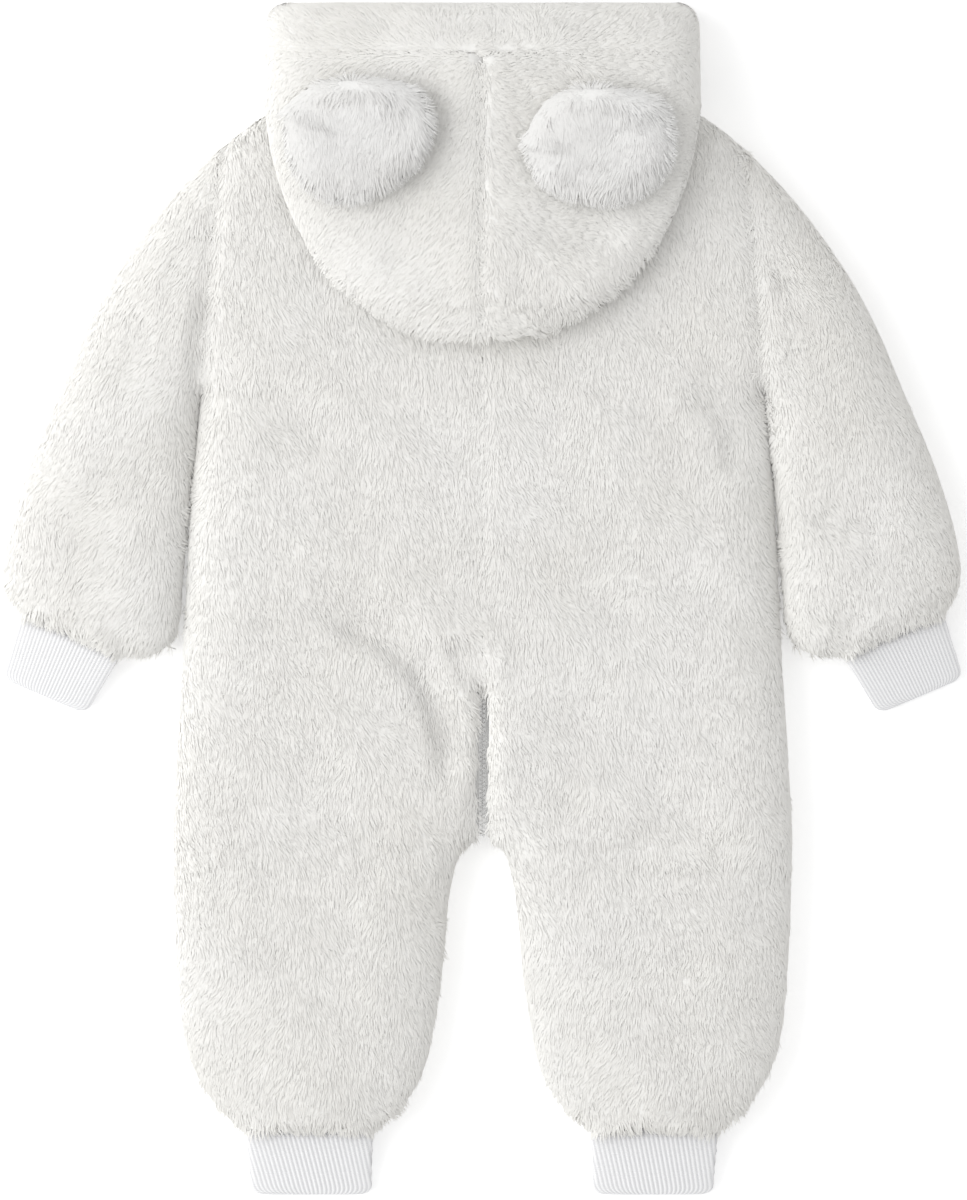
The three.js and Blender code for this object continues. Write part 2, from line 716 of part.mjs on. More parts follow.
// Slider under the throat: a plate with a loop, which the pull tab's end bar turns in
const SLIDER_Y = 238;
const PLATE_TOP = 13;
const PLATE_THICK = 2.5;
const LOOP_HOLE = 3.4;
const LOOP_WALL = 1.2;
const BAR = 1.6;
const PULL_LENGTH = 26;
const PULL_WIDTH = 7;
const PULL_TILT = THREE.MathUtils.degToRad(15);
const hingeHeight = PLATE_TOP - PLATE_THICK - LOOP_HOLE / 2;

function solidFrom(geometry) {
  const bare = geometry.clone();
  bare.deleteAttribute("normal");
  bare.deleteAttribute("uv");
  const merged = mergeVertices(bare, 1e-4);
  return new wasm.Manifold(
    new wasm.Mesh({
      numProp: 3,
      vertProperties: merged.attributes.position.array,
      triVerts: new Uint32Array(merged.index.array),
    }),
  );
}

function geometryFrom(solid) {
  const mesh = solid.getMesh();
  const geometry = new THREE.BufferGeometry();
  geometry.setAttribute("position", new THREE.BufferAttribute(mesh.vertProperties, 3));
  geometry.setIndex(new THREE.BufferAttribute(mesh.triVerts, 1));
  geometry.computeVertexNormals();
  return geometry;
}

// A flat outline with holes, made thick along its own Z
function plate(outline, holes, thick) {
  const shape = new THREE.Shape(outline.map(([x, y]) => new THREE.Vector2(x, y)));
  shape.holes = holes.map((hole) => new THREE.Path(hole.map(([x, y]) => new THREE.Vector2(x, y))));
  return new THREE.ExtrudeGeometry(shape, { depth: thick, bevelEnabled: false });
}

function sliderGeometry() {
  const body = plate(
    [
      [-4, -6],
      [4, -6],
      [4.6, 0],
      [3.6, 6],
      [-3.6, 6],
      [-4.6, 0],
    ],
    [],
    PLATE_THICK,
  ).translate(0, SLIDER_Y, PLATE_TOP - PLATE_THICK);
  const half = LOOP_HOLE / 2;
  const reach = half + LOOP_WALL;
  const loop = plate(
    [
      [-reach, -reach],
      [reach, -reach],
      [reach, half + 0.8],
      [-reach, half + 0.8],
    ],
    [
      [
        [-half, -half],
        [-half, half],
        [half, half],
        [half, -half],
      ],
    ],
    3,
  );
  loop.rotateX(Math.PI / 2).rotateZ(Math.PI / 2).translate(-1.5, SLIDER_Y, hingeHeight);
  return geometryFrom(solidFrom(body).add(solidFrom(loop)));
}

function pullGeometry() {
  const half = PULL_WIDTH / 2;
  const pull = plate(
    [
      [-half, -PULL_LENGTH + 2],
      [-half + 2, -PULL_LENGTH],
      [half - 2, -PULL_LENGTH],
      [half, -PULL_LENGTH + 2],
      [half - 0.4, BAR / 2],
      [-half + 0.4, BAR / 2],
    ],
    [
      [
        [-2, -6.4],
        [2, -6.4],
        [2, -BAR / 2],
        [-2, -BAR / 2],
      ],
    ],
    BAR,
  );
  return pull.translate(0, 0, -BAR / 2).rotateX(PULL_TILT).translate(0, SLIDER_Y, hingeHeight);
}

add("zip_slider", sliderGeometry(), ZIP_PLASTIC, 0.5);
add("zip_pull", geometryFrom(solidFrom(pullGeometry())), ZIP_PLASTIC, 0.5);

export default suit;
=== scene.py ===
"""A baby's hooded long-pile fleece snowsuit, laid on its front.

Sizes are in millimetres, and meshes are made in metres.
"""

import math

import bpy
import numpy as np
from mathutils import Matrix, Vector


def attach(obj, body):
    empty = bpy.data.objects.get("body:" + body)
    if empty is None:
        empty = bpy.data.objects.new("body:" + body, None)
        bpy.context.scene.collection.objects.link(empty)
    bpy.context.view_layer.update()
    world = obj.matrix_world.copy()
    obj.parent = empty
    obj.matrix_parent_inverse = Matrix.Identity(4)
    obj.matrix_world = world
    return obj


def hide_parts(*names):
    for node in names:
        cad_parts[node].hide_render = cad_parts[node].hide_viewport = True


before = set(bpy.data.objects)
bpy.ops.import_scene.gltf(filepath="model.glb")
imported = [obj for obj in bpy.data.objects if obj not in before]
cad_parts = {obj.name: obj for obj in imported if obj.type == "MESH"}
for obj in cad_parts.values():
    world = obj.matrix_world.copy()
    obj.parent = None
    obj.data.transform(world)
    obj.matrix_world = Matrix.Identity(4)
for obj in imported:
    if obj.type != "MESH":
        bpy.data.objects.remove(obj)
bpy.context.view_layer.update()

bl_info = {
    "name": "Fleece Snowsuit",
    "version": (1, 0, 0),
    "blender": (4, 5, 0),
    "location": "View3D > Sidebar > Snowsuit",
    "description": "Builds the cloth, pile, ribbed cuffs and zip of a fleece baby snowsuit",
    "category": "Add Mesh",
}

MM = 0.001
SIDES = (("left", -1), ("right", 1))

# Heights through the suit, in millimetres
SEAM_GAP = 0.3
SUIT_TOP = 33.0
SEAM_HEIGHT = 16.0
SEAM_EDGE = 1.3
SLIT = 3.0
EDGE_ROUND = 35.0
LEG_ROUND = 52.0
UNDER_ROUND = 15.0
MOUTH_ROUND = 20.0
SEAM_ALLOWANCE = 13.0

# Hood, in millimetres
HOOD_BASE = 33.3
HOOD_UNDER = 9.0
HOOD_UPPER = 14.0
HOOD_TOP = 59.0
HOOD_TOP_AT_OPENING = 38.0
HOOD_ROUND = 30.0
HOOD_WIDEST = 124.0
HOOD_END = 339.7
HOOD_CORNER = 15.0
BAND_SEAM = 309.5
HOOD_TIP = 144.8
NECK_TO_DROOP = 288.0
FOLD_INSET = 12.0
LIP_ROUND = 11.0

# Ears, cuffs and zip, in millimetres
EAR_THICK = 20.0
EAR_EDGE = 1.2
CUFF_THICK = 6.4
CUFF_WALL = 2.3
CUFF_END_HEIGHT = 3.9
CUFF_CORNER = 5.6
ZIP_SLOT = 6.6
PULL_SLOT = 13.0
ZIP_TOP_ON_BACK = -51.0
CROTCH = -135.7
THROAT = 250.8
RIB_POINTS = 5
TOOTH_PITCH = 1.3
TEETH_LOW = 14.4
TEETH_HIGH = 17.6

# Pile depths that are not a setting, and levels just above the surface that the suit lies on, in millimetres
FRONT_PILE = 4.0
HOOD_PILE = 5.0
EAR_PILE = 4.5
LOCK_LOWEST = 0.15
RESTING = 0.3
SHELL_LOWEST = 0.4
BACKING_LOWEST = 0.5

# Locks on a whole piece, and the shares of them kept where they are pressed flat or lie inside the fold
LOCKS = {"back": 64000, "front": 8000, "sleeve": 33000, "hood": 25000, "hood_band": 14000, "ear_front": 11000,
         "ear_back": 2500}
FRONT_PRESSED = 0.12
SLEEVE_PRESSED = 0.1
HOOD_INSIDE = 0.02

# Outlines of the right half from head to foot, as (x, y)
BACK_NECK = [(0, 285), (40, 288), (74, 297.5)]
FRONT_NECK = [(0, THROAT), (34, 256), (60, 274), (74, 297.5)]
SHOULDER = [(74, 297.5), (102, 288), (128.8, 273.6), (149.5, 257.3)]
ARMHOLE = [(149.5, 257.3), (160.2, 118)]
SIDE = [(160.2, 118), (165.9, 57), (169.5, -15), (174.4, -91), (176.4, -150), (172.7, -228), (166.2, -262),
        (153, -286), (137, -301)]
INSEAM = [(3.3, CROTCH), (9.5, -140.5), (14.3, -148.2), (19.1, -171), (23.7, -216.6), (31.6, -262.2), (44, -286),
          (60, -301)]
SLEEVE_OUTER = [(149.8, 257.3), (177.3, 228), (202.9, 193.8), (222.6, 159.6), (242, 114), (256.5, 79.8),
                (267.6, 45.6), (272.5, 19), (270.5, 5), (264.5, -5.5)]
SLEEVE_INNER = [(160.5, 118), (167, 57), (170.9, 12), (172.4, -10), (178, -24), (188.5, -30.5), (203.5, -31.5)]
LEG_MOUTH = [(60, -304), (137, -304)]
SLEEVE_MOUTH = [(204.7, -34.2), (265.7, -8.2)]
HOOD_RIM = [(124, 280), (119.1, 251.4), (114, 232.6), (106, 213.2), (96.9, 198.4), (85.5, 183.5), (71.8, 171.6),
            (55.9, 160.7), (39.9, 152.8), (22.8, 147.6), (0, HOOD_TIP)]
HOOD_UNDER_END = [(0, 285), (74, 297.5), (80, 309), (84, 340)]

# Rows of a body panel: where each meets the centre or inseam, and where it meets the armhole or side
BACK_ENDS = [(285, 257.3), (282, 254), (274, 246), (261, 233), (240, 215), (210, 190), (175, 160), (142, 134),
             (118, 118)]
FRONT_ENDS = [(THROAT, 257.3), (244, 250), (232, 238), (208, 212), (200, 203), (165, 165)]

# Folds as troughs: from, bend, to, depth and half width. The first eight follow those of the solids.
FOLDS = [
    ((-104, -1), (-38, -38), (-16, -112), 5.6, 8.5),
    ((-17, -18), (-11, -36), (-6, -52), 3.5, 7.0),
    ((30, -58), (70, -84), (32, -110), 2.2, 14.0),
    ((104, -66), (107, -100), (96, -148), 2.4, 16.0),
    ((112, 120), (136, 106), (148, 66), 4.0, 10.0),
    ((-152, 178), (-160, 150), (-156, 112), 3.0, 9.0),
    ((176, 60), (200, 46), (236, 50), 2.5, 10.0),
    ((-178, 74), (-204, 58), (-232, 66), 2.5, 10.0),
    ((-106, -3), (-60, -22), (-38, -40), 0.5, 5.5),
    ((-36, -42), (-20, -72), (-17, -116), 1.2, 7.0),
    ((-92, -52), (-66, -66), (-48, -104), -1.8, 18.0),
    ((-40, -14), (-14, -6), (18, -18), -1.6, 14.0),
    ((132, -90), (138, -130), (128, -170), -0.8, 18.0),
    ((84, -68), (96, -67), (106, -70), 0.7, 8.0),
    ((-128, 96), (-110, 88), (-84, 92), 1.4, 8.0),
    ((60, 30), (84, 22), (112, 28), 1.2, 9.0),
    ((-60, -190), (-96, -204), (-140, -198), 1.5, 9.0),
    ((62, -196), (98, -206), (136, -202), 1.5, 9.0),
    ((-150, 214), (-168, 200), (-178, 176), 2.0, 6.0),
    ((150, 210), (166, 192), (172, 168), 2.0, 6.0),
    ((-190, 150), (-206, 128), (-222, 120), 1.6, 8.0),
    ((156, 190), (176, 184), (204, 194), 1.6, 7.0),
    ((186, 168), (206, 120), (224, 76), -1.0, 16.0),
]

# How far the nap wanders on each hood piece, and how large its tufts are, against the rest of the suit
HOOD_RUFFLE = {"hood_left": (0.6, 0.9), "hood_right": (1.4, 1.7), "hood_band": (1.3, 1.4)}

# Soft hollows in the hood's top, given in the same way
HOOD_FOLDS = [
    ((18, 222), (50, 208), (84, 214), 3.0, 13.0),
    ((22, 294), (60, 299), (96, 293), 1.6, 7.0),
    ((-20, 200), (-40, 190), (-58, 192), 1.2, 10.0),
    ((14, 180), (34, 176), (50, 184), 1.6, 8.0),
]

# Ears: middle, and rim points around it
EARS = {
    "left": ((-70, 259), [(-43, 20), (-24, 33), (2, 36), (30, 32), (42, 16), (40, -4), (26, -22), (0, -35),
                          (-26, -30), (-40, -10)]),
    "right": ((65, 256), [(-43, 4), (-36, 20), (-20, 32), (4, 34), (34, 28), (42, 12), (41, -12), (24, -29),
                          (0, -33), (-32, -22)]),
}

# Cuffs: middle of the top, middle of the end, direction across, widths at top and end, ribs a side, rib height,
# and how many ribs the knit twists by down the cuff
CUFFS = {
    "leg": ((98.5, -301.4), (97.5, -339.7), (1, 0), 73.0, 69.0, 27, 0.55, 3.2),
    "sleeve": ((234.2, -19.1), (250.8, -54.8), (0.92, 0.392), 62.0, 53.0, 28, 0.38, 0.4),
}


# Shaping helpers
def smooth(t):
    """0 to 1 with level ends: 3 t squared minus 2 t cubed."""
    t = np.clip(t, 0, 1)
    return t * t * (3 - 2 * t)


def round_off(t):
    """A quarter circle from 0 to 1: the square root of 1 minus (1 - t) squared."""
    return np.sqrt(1 - (1 - np.clip(t, 0, 1)) ** 2)


def mix(a, b, t):
    """From a at 0 to b at 1, in a straight line."""
    return a + (b - a) * t


def bell(off, width):
    """1 at no distance, falling as the exponential of minus (distance over width) squared."""
    return np.exp(-((off / width) ** 2))


def of_length_one(vectors, least=1e-9):
    """Vectors divided by their lengths, where a shorter one than the least counts as that long."""
    return vectors / np.maximum(np.linalg.norm(vectors, axis=-1, keepdims=True), least)


def in_plane(vectors, normal):
    """The part of each vector in the plane of its normal: the vector less its product with the normal along it."""
    return vectors - normal * np.einsum("ij,ij->i", vectors, normal)[:, None]


def eased(count):
    """Steps from 0 to 1, closest together at both ends: half of 1 minus a cosine."""
    return 0.5 - 0.5 * np.cos(np.pi * np.arange(count + 1) / count)


def smooth_line(points, count=90):
    """A uniform Catmull-Rom curve through the points, resampled at even lengths."""
    p = np.array(points, float)
    p = np.vstack([p[0], p, p[-1]])
    t = np.linspace(0, 1, 40, endpoint=False)[:, None]
    parts = []
    for a, b, c, d in zip(p[:-3], p[1:-2], p[2:-1], p[3:]):
        v0, v1 = (c - a) / 2, (d - b) / 2
        parts.append((2 * b - 2 * c + v0 + v1) * t**3 + (-3 * b + 3 * c - 2 * v0 - v1) * t**2 + v0 * t + b)
    fine = np.vstack(parts + [p[-1:]])
    run = np.concatenate([[0], np.cumsum(np.linalg.norm(np.diff(fine, axis=0), axis=1))])
    at = np.linspace(0, run[-1], count + 1)
    return np.stack([np.interp(at, run, fine[:, 0]), np.interp(at, run, fine[:, 1])], 1)


def x_at(line, y):
    """The x of a line that runs down the suit, at heights y."""
    return np.interp(-np.asarray(y, float), -line[:, 1], line[:, 0])


def y_at(line, x):
    """The y of a line that runs outward, at distances x."""
    return np.interp(x, line[:, 0], line[:, 1])


def distance(lines, x, y):
    """The distance in plan to the nearest of some lines: the least over their segments."""
    place = np.stack([np.ravel(x), np.ravel(y)], 1).astype(float)
    best = np.full(len(place), 1e9)
    for line in lines:
        for a, b in zip(line[:-1], line[1:]):
            run = b - a
            t = np.clip((place - a) @ run / max(run @ run, 1e-9), 0, 1)
            off = place - a - t[:, None] * run
            best = np.minimum(best, np.einsum("ij,ij->i", off, off))
    return np.sqrt(best).reshape(np.shape(x))


shoulder = smooth_line(SHOULDER, 30)
back_top = np.vstack([smooth_line(BACK_NECK, 20), shoulder[1:]])
front_top = np.vstack([smooth_line(FRONT_NECK, 20), shoulder[1:]])
armhole = smooth_line(ARMHOLE, 2)
side = smooth_line(SIDE, 60)
inseam = smooth_line(INSEAM, 50)
sleeve_outer = smooth_line(SLEEVE_OUTER, 60)
sleeve_inner = smooth_line(SLEEVE_INNER, 40)
hood_rim = np.vstack([[HOOD_WIDEST, 330], smooth_line(HOOD_RIM, 60)])
leg_mouth = np.array(LEG_MOUTH, float)
sleeve_mouth = np.array(SLEEVE_MOUTH, float)
zip_line = np.array([(0, ZIP_TOP_ON_BACK), (0, CROTCH)], float)
SHARED_EDGES = [side, inseam, sleeve_outer, sleeve_inner, leg_mouth, sleeve_mouth]
FOLD_LINES = [(smooth_line([a, b, c], 60), depth, width) for a, b, c, depth, width in FOLDS]
HOOD_FOLD_LINES = [(smooth_line([a, b, c], 60), depth, width) for a, b, c, depth, width in HOOD_FOLDS]


def waves(x, y, length, seed, count=9):
    """Smooth noise of about -1 to 1: a sum of sine waves of that length in random directions."""
    rng = np.random.default_rng(seed)
    total = np.zeros(np.shape(x))
    for _ in range(count):
        turn, phase, stretch = rng.uniform(0, 2 * np.pi), rng.uniform(0, 2 * np.pi), rng.uniform(0.7, 1.5)
        k = 2 * np.pi / (length * stretch)
        total += np.sin(k * (x * np.cos(turn) + y * np.sin(turn)) + phase)
    return total / math.sqrt(count)


def troughs(lines, x, y):
    """Folds as uneven troughs: a bell across each line, steeper on its left, that fades out toward its ends."""
    place = np.stack([np.ravel(x), np.ravel(y)], 1).astype(float)
    uneven = 1 + 0.16 * waves(place[:, 0], place[:, 1], 60, 5)
    total = np.zeros(len(place))
    for line, depth, width in lines:
        gap = np.linalg.norm(place[:, None] - line[None], axis=2)
        nearest = gap.argmin(axis=1)
        share = nearest / (len(line) - 1)
        fade = smooth(share * 3 + 0.15) * smooth((1 - share) * 3 + 0.1)
        across = (place - line[nearest]) @ [0.8, 0.6]
        wide = width * mix(0.8, 1.9, smooth(0.5 + across / (2 * width)))
        total += depth * fade * uneven * bell(gap.min(axis=1), wide)
    return total.reshape(np.shape(x))


def back_height(x, y):
    """The suit's top surface: a quarter ellipse in from its outline, less folds, seams and the zip's hollow."""
    across = np.abs(x)
    spread = mix(EDGE_ROUND, LEG_ROUND, smooth((-120 - y) / 110))
    edge = round_off(distance([back_top, side, inseam, sleeve_outer, sleeve_inner], across, y) / spread)
    edge = np.minimum(edge, round_off(distance([leg_mouth, sleeve_mouth], across, y) / MOUTH_ROUND))
    dents = 2 * bell(distance([armhole], across, y), 6)
    dents += np.where(y > ZIP_TOP_ON_BACK, 0.5 * bell(across, 5), 0)
    dents += 9 * (1 - round_off(distance([zip_line], across, y) / 16))
    dents += 2.4 * bell(distance([zip_line], across, y), 7)
    dents += troughs(FOLD_LINES, x, y)
    dents += 0.5 * (waves(x, y, 42, 11) + 0.5 * waves(x, y, 17, 12)) + 0.4
    low = SEAM_HEIGHT + SEAM_EDGE
    return low + (SUIT_TOP - low) * edge - np.maximum(dents, 0) * edge


def front_height(x, y):
    """The underside: flat on the surface, with a quarter ellipse up to the seam at its outline."""
    edges = [front_top, *SHARED_EDGES]
    return (SEAM_HEIGHT - SEAM_EDGE) * (1 - round_off(distance(edges, np.abs(x), y) / UNDER_ROUND))


def inner_height(x, y, way):
    """The inner faces: together in the seam allowance, and a slit apart behind it."""
    opened = smooth((distance([shoulder, side, inseam], np.abs(x), y) - SEAM_ALLOWANCE) / 5)
    return SEAM_HEIGHT + way * mix(SEAM_GAP / 2, SLIT / 2, opened)


# Grids of points
def panel_plan(ends, columns, top, centre, step):
    """Straight rows from the centre or inseam to the armhole or side, bowed near the top to follow the neck.

    Rows closer than 1.5 mm to those fixed at the crotch and the leg mouth are left out.
    """
    ends = np.array(ends, float)
    below = np.arange(ends[-1, 0] - step, -298, -step)
    extra = CROTCH - np.array([0, 0.6, 1.6, 3, 5, 8, 12])
    tail = np.array([-298.5, -300, -301])
    fixed = np.concatenate([extra, tail])
    below = below[np.abs(below[:, None] - fixed).min(1) > 1.5]
    low = -np.unique(-np.concatenate([below, fixed]))
    t = np.linspace(0, len(ends) - 1, int((ends[0, 0] - ends[-1, 0]) / step) + 6)
    inner = np.concatenate([np.interp(t, range(len(ends)), ends[:, 0]), low])
    outer = np.concatenate([np.interp(t, range(len(ends)), ends[:, 1]), low])
    start = np.where(inner < CROTCH, x_at(inseam, inner), centre(inner))
    end = np.where(outer > ARMHOLE[1][1], x_at(armhole, outer), x_at(side, outer))
    u = eased(columns)[None, :]
    straight = mix(inner[0], outer[0], u)
    bow = y_at(top, mix(start[0], SHOULDER[-1][0], u)) - straight
    bow[:, [0, -1]] = 0
    fade = (1 - smooth((inner[0] - inner) / 150))[:, None]
    x = mix(start[:, None], end[:, None], u)
    return x, mix(inner[:, None], outer[:, None], u) + bow * fade


def normals_of(grid):
    """Unit normals of a grid: the cross product of its differences along columns and rows."""
    return of_length_one(np.cross(np.gradient(grid, axis=1), np.gradient(grid, axis=0)))


def facing(grid, up):
    """The grid with its columns turned round, if need be, so that its normals point up on average."""
    return grid if normals_of(grid)[..., 2].mean() * up > 0 else grid[:, ::-1]


def side_grid(x, y, z, sign):
    """A grid of points for one side of the suit."""
    return np.stack([sign * x, y, z], -1)


def sleeve_plan(columns, rows):
    """Rows across the sleeve, from the armhole to the cuff, between its inner and outer edges."""
    shares = np.array([(0, 0), (0.12, 0.17), (0.34, 0.4), (0.57, 0.63), (0.73, 0.81), (0.87, 0.935), (1, 1)])
    t = np.linspace(0, len(shares) - 1, rows)
    inner = smooth_line(SLEEVE_INNER, 200)[
        np.round(np.interp(t, range(len(shares)), shares[:, 0]) * 200).astype(int)]
    outer = smooth_line(SLEEVE_OUTER, 200)[
        np.round(np.interp(t, range(len(shares)), shares[:, 1]) * 200).astype(int)]
    u = eased(columns)[None, :, None]
    plan = mix(inner[:, None], outer[:, None], u)
    return plan[..., 0], plan[..., 1]


def hood_width(y):
    """The hood's half width: its rim line, less a quarter circle at the open end's corner."""
    into = np.clip(y - (HOOD_END - HOOD_CORNER), 0, HOOD_CORNER)
    return x_at(hood_rim, y) - (HOOD_CORNER - np.sqrt(HOOD_CORNER**2 - into**2))


def hood_base(x, y):
    """The under layer's lower face: flat on the back panels, then a smooth step down past the shoulder."""
    inside = np.sign(y_at(back_top, x) - y) * distance([back_top], x, y)
    return HOOD_BASE * smooth((inside + 30) / 38)


def hood_top(y):
    """The upper layer's level: flat over the back, then a smooth step down to the open end."""
    return mix(HOOD_TOP, HOOD_TOP_AT_OPENING, smooth((y - NECK_TO_DROOP) / (HOOD_END - NECK_TO_DROOP)))


def hood_grids(ys, steps, lip, sign):
    """Outer and inner grids of a hood half, on the right: out over the top, round the fold and back below."""
    u = steps[None, :]
    y = ys[:, None] + 0 * u
    width = hood_width(ys)[:, None]
    narrower = width - np.minimum(FOLD_INSET, width / 2)
    centre = 0.0 if lip else SEAM_GAP / 2
    under_end = np.interp(ys, *np.array(HOOD_UNDER_END).T[::-1])[:, None]
    end = np.where(y > HOOD_UNDER_END[0][1], np.maximum(centre, under_end), centre)
    level = hood_top(y)
    base_at_fold = hood_base(width, ys[:, None])
    fold = (base_at_fold + level) / 2
    slit = (base_at_fold + HOOD_UNDER + level - HOOD_UPPER) / 2
    drop = (HOOD_UPPER - 2) * (1 - round_off((HOOD_END - y) / LIP_ROUND)) if lip else 0
    x = mix(centre, width, u)
    edge = round_off(distance([hood_rim], x, y) / HOOD_ROUND) * (u < 1)
    dent = bell(x, 4) * (not lip)
    dent = dent + 1.4 * bell(y - BAND_SEAM, 3.5) + np.maximum(0, 0.6 * waves(sign * x, y, 32, 21) + 0.3)
    dent = dent + troughs(HOOD_FOLD_LINES, sign * x, y)
    over = np.stack([x, y, mix(fold, level - drop, edge) - dent * edge], -1)
    x = mix(centre, narrower, u)
    within = np.stack([x, y, mix(slit, level - HOOD_UPPER, round_off((narrower - x) / 8))], -1)
    x = mix(end, width, u)
    below = round_off(distance([hood_rim], x, y) / FOLD_INSET)
    under = np.stack([x, y, mix(fold, hood_base(x, y), below)], -1)
    x = mix(end, narrower, u)
    beneath = np.stack([x, y, mix(slit, hood_base(x, y) + HOOD_UNDER, round_off((narrower - x) / 8))], -1)
    return np.concatenate([over, under[:, -2::-1]], 1), np.concatenate([within, beneath[:, -2::-1]], 1)


# Meshes
def mesh_object(name, points, faces, material, smooth_faces=True, root_share=None, normals=None):
    """An object at the origin from points in millimetres, with optional root-to-tip shares and normals."""
    mesh = bpy.data.meshes.new(name)
    points = np.asarray(points, np.float32).reshape(-1, 3) * MM
    faces = np.asarray(faces, np.int32)
    count, sides = faces.shape
    mesh.vertices.add(len(points))
    mesh.vertices.foreach_set("co", points.ravel())
    mesh.loops.add(count * sides)
    mesh.loops.foreach_set("vertex_index", faces.ravel())
    mesh.polygons.add(count)
    mesh.polygons.foreach_set("loop_start", np.arange(0, count * sides, sides, dtype=np.int32))
    mesh.polygons.foreach_set("use_smooth", np.full(count, smooth_faces))
    if root_share is not None:
        layer = mesh.attributes.new("pile", "FLOAT", "POINT")
        layer.data.foreach_set("value", np.asarray(root_share, np.float32).ravel())
    mesh.update(calc_edges=True)
    mesh.validate()
    if normals is not None:
        mesh.normals_split_custom_set_from_vertices(np.asarray(normals, np.float32).reshape(-1, 3))
    mesh.materials.append(material)
    found = bpy.data.objects.new(name, mesh)
    bpy.context.scene.collection.objects.link(found)
    return found


def wall_faces(rows, columns, ring=False):
    """Quads of a wall between an outer and an inner grid of equal size, with rims all round."""
    strips = columns if ring else columns - 1
    i, j = np.meshgrid(np.arange(rows - 1), np.arange(strips), indexing="ij")
    k = (j + 1) % columns
    other = rows * columns
    outer = np.stack([i * columns + j, i * columns + k, (i + 1) * columns + k, (i + 1) * columns + j], -1)
    inner = outer[..., ::-1] + other
    j = np.arange(strips)
    k = (j + 1) % columns
    last = (rows - 1) * columns
    rims = [np.stack([k, j, j + other, k + other], -1),
            np.stack([last + j, last + k, last + k + other, last + j + other], -1)]
    if not ring:
        i = np.arange(rows - 1) * columns
        n = i + columns
        end = columns - 1
        rims += [np.stack([i, n, n + other, i + other], -1),
                 np.stack([n + end, i + end, i + end + other, n + end + other], -1)]
    return np.vstack([outer.reshape(-1, 4), inner.reshape(-1, 4), *rims])


def wall(name, outer, inner, material, ring=False):
    """A closed wall between two grids, turned to face out: its signed volume, a sum of triple products, is above 0."""
    rows, columns = outer.shape[:2]
    faces = wall_faces(rows, columns, ring)
    points = np.vstack([outer.reshape(-1, 3), inner.reshape(-1, 3)])
    a, b, c, d = (points[faces[:, n]] for n in range(4))
    volume = np.einsum("ij,ij->", a, np.cross(b, c)) + np.einsum("ij,ij->", a, np.cross(c, d))
    return mesh_object(name, points, faces if volume > 0 else faces[:, ::-1], material)


def inset_grid(grid, depth):
    """The grid moved in along its normals, and kept just clear of the surface it lies on."""
    moved = grid - normals_of(grid) * depth
    moved[..., 2] = np.maximum(moved[..., 2], np.minimum(grid[..., 2], SHELL_LOWEST))
    return moved


def cell_areas(grid):
    """The area of each cell: the length of the cross product of its two sides."""
    a = grid[1:, :-1] - grid[:-1, :-1]
    b = grid[:-1, 1:] - grid[:-1, :-1]
    return np.linalg.norm(np.cross(a, b), axis=2)


def sample(grid, row, column):
    """The grid at fractional rows and columns, mixed from the four points around each."""
    row = np.clip(row, 0, grid.shape[0] - 1.001)
    column = np.clip(column, 0, grid.shape[1] - 1.001)
    i, j = row.astype(int), column.astype(int)
    s, t = (column - j)[:, None], (row - i)[:, None]
    return mix(mix(grid[i, j], grid[i, j + 1], s), mix(grid[i + 1, j], grid[i + 1, j + 1], s), t)


def bend_along(grid, row, column, form, normal, reach):
    """How far a grid bends up from its tangent plane over a reach: its height over the plane where the reach ends.

    The reach is turned into rows and columns by the 2 by 2 system of its products with the cell's two sides.
    """
    i = np.minimum(row.astype(int), grid.shape[0] - 2)
    j = np.minimum(column.astype(int), grid.shape[1] - 2)
    a, b = grid[i + 1, j] - grid[i, j], grid[i, j + 1] - grid[i, j]
    aa, bb, ab, ra, rb = ((u * v).sum(1) for u, v in ((a, a), (b, b), (a, b), (reach, a), (reach, b)))
    area = np.maximum(aa * bb - ab**2, 1e-6)
    ahead = sample(grid, row + (ra * bb - rb * ab) / area, column + (rb * aa - ra * ab) / area)
    off = ahead - form - reach
    up = np.clip((off * normal).sum(1), -2.5, 2.5)
    near = np.linalg.norm(off - up[:, None] * normal, axis=1) < 0.35 * np.linalg.norm(reach, axis=1)
    return (up * near)[:, None]


def combed_in(points):
    """Points of the hood's locks drawn back to its outline by four fifths of how far they pass it, above the rim."""
    x, y, z = points[..., 0], points[..., 1], points[..., 2]
    y = np.minimum(y, HOOD_END + 0.2 * np.maximum(y - HOOD_END, 0))
    past = np.maximum(np.abs(x) - hood_width(np.minimum(y, HOOD_END)), 0) * smooth((y - 175) / 40)
    return np.stack([x - 0.8 * past * np.sign(x), y, z], -1)


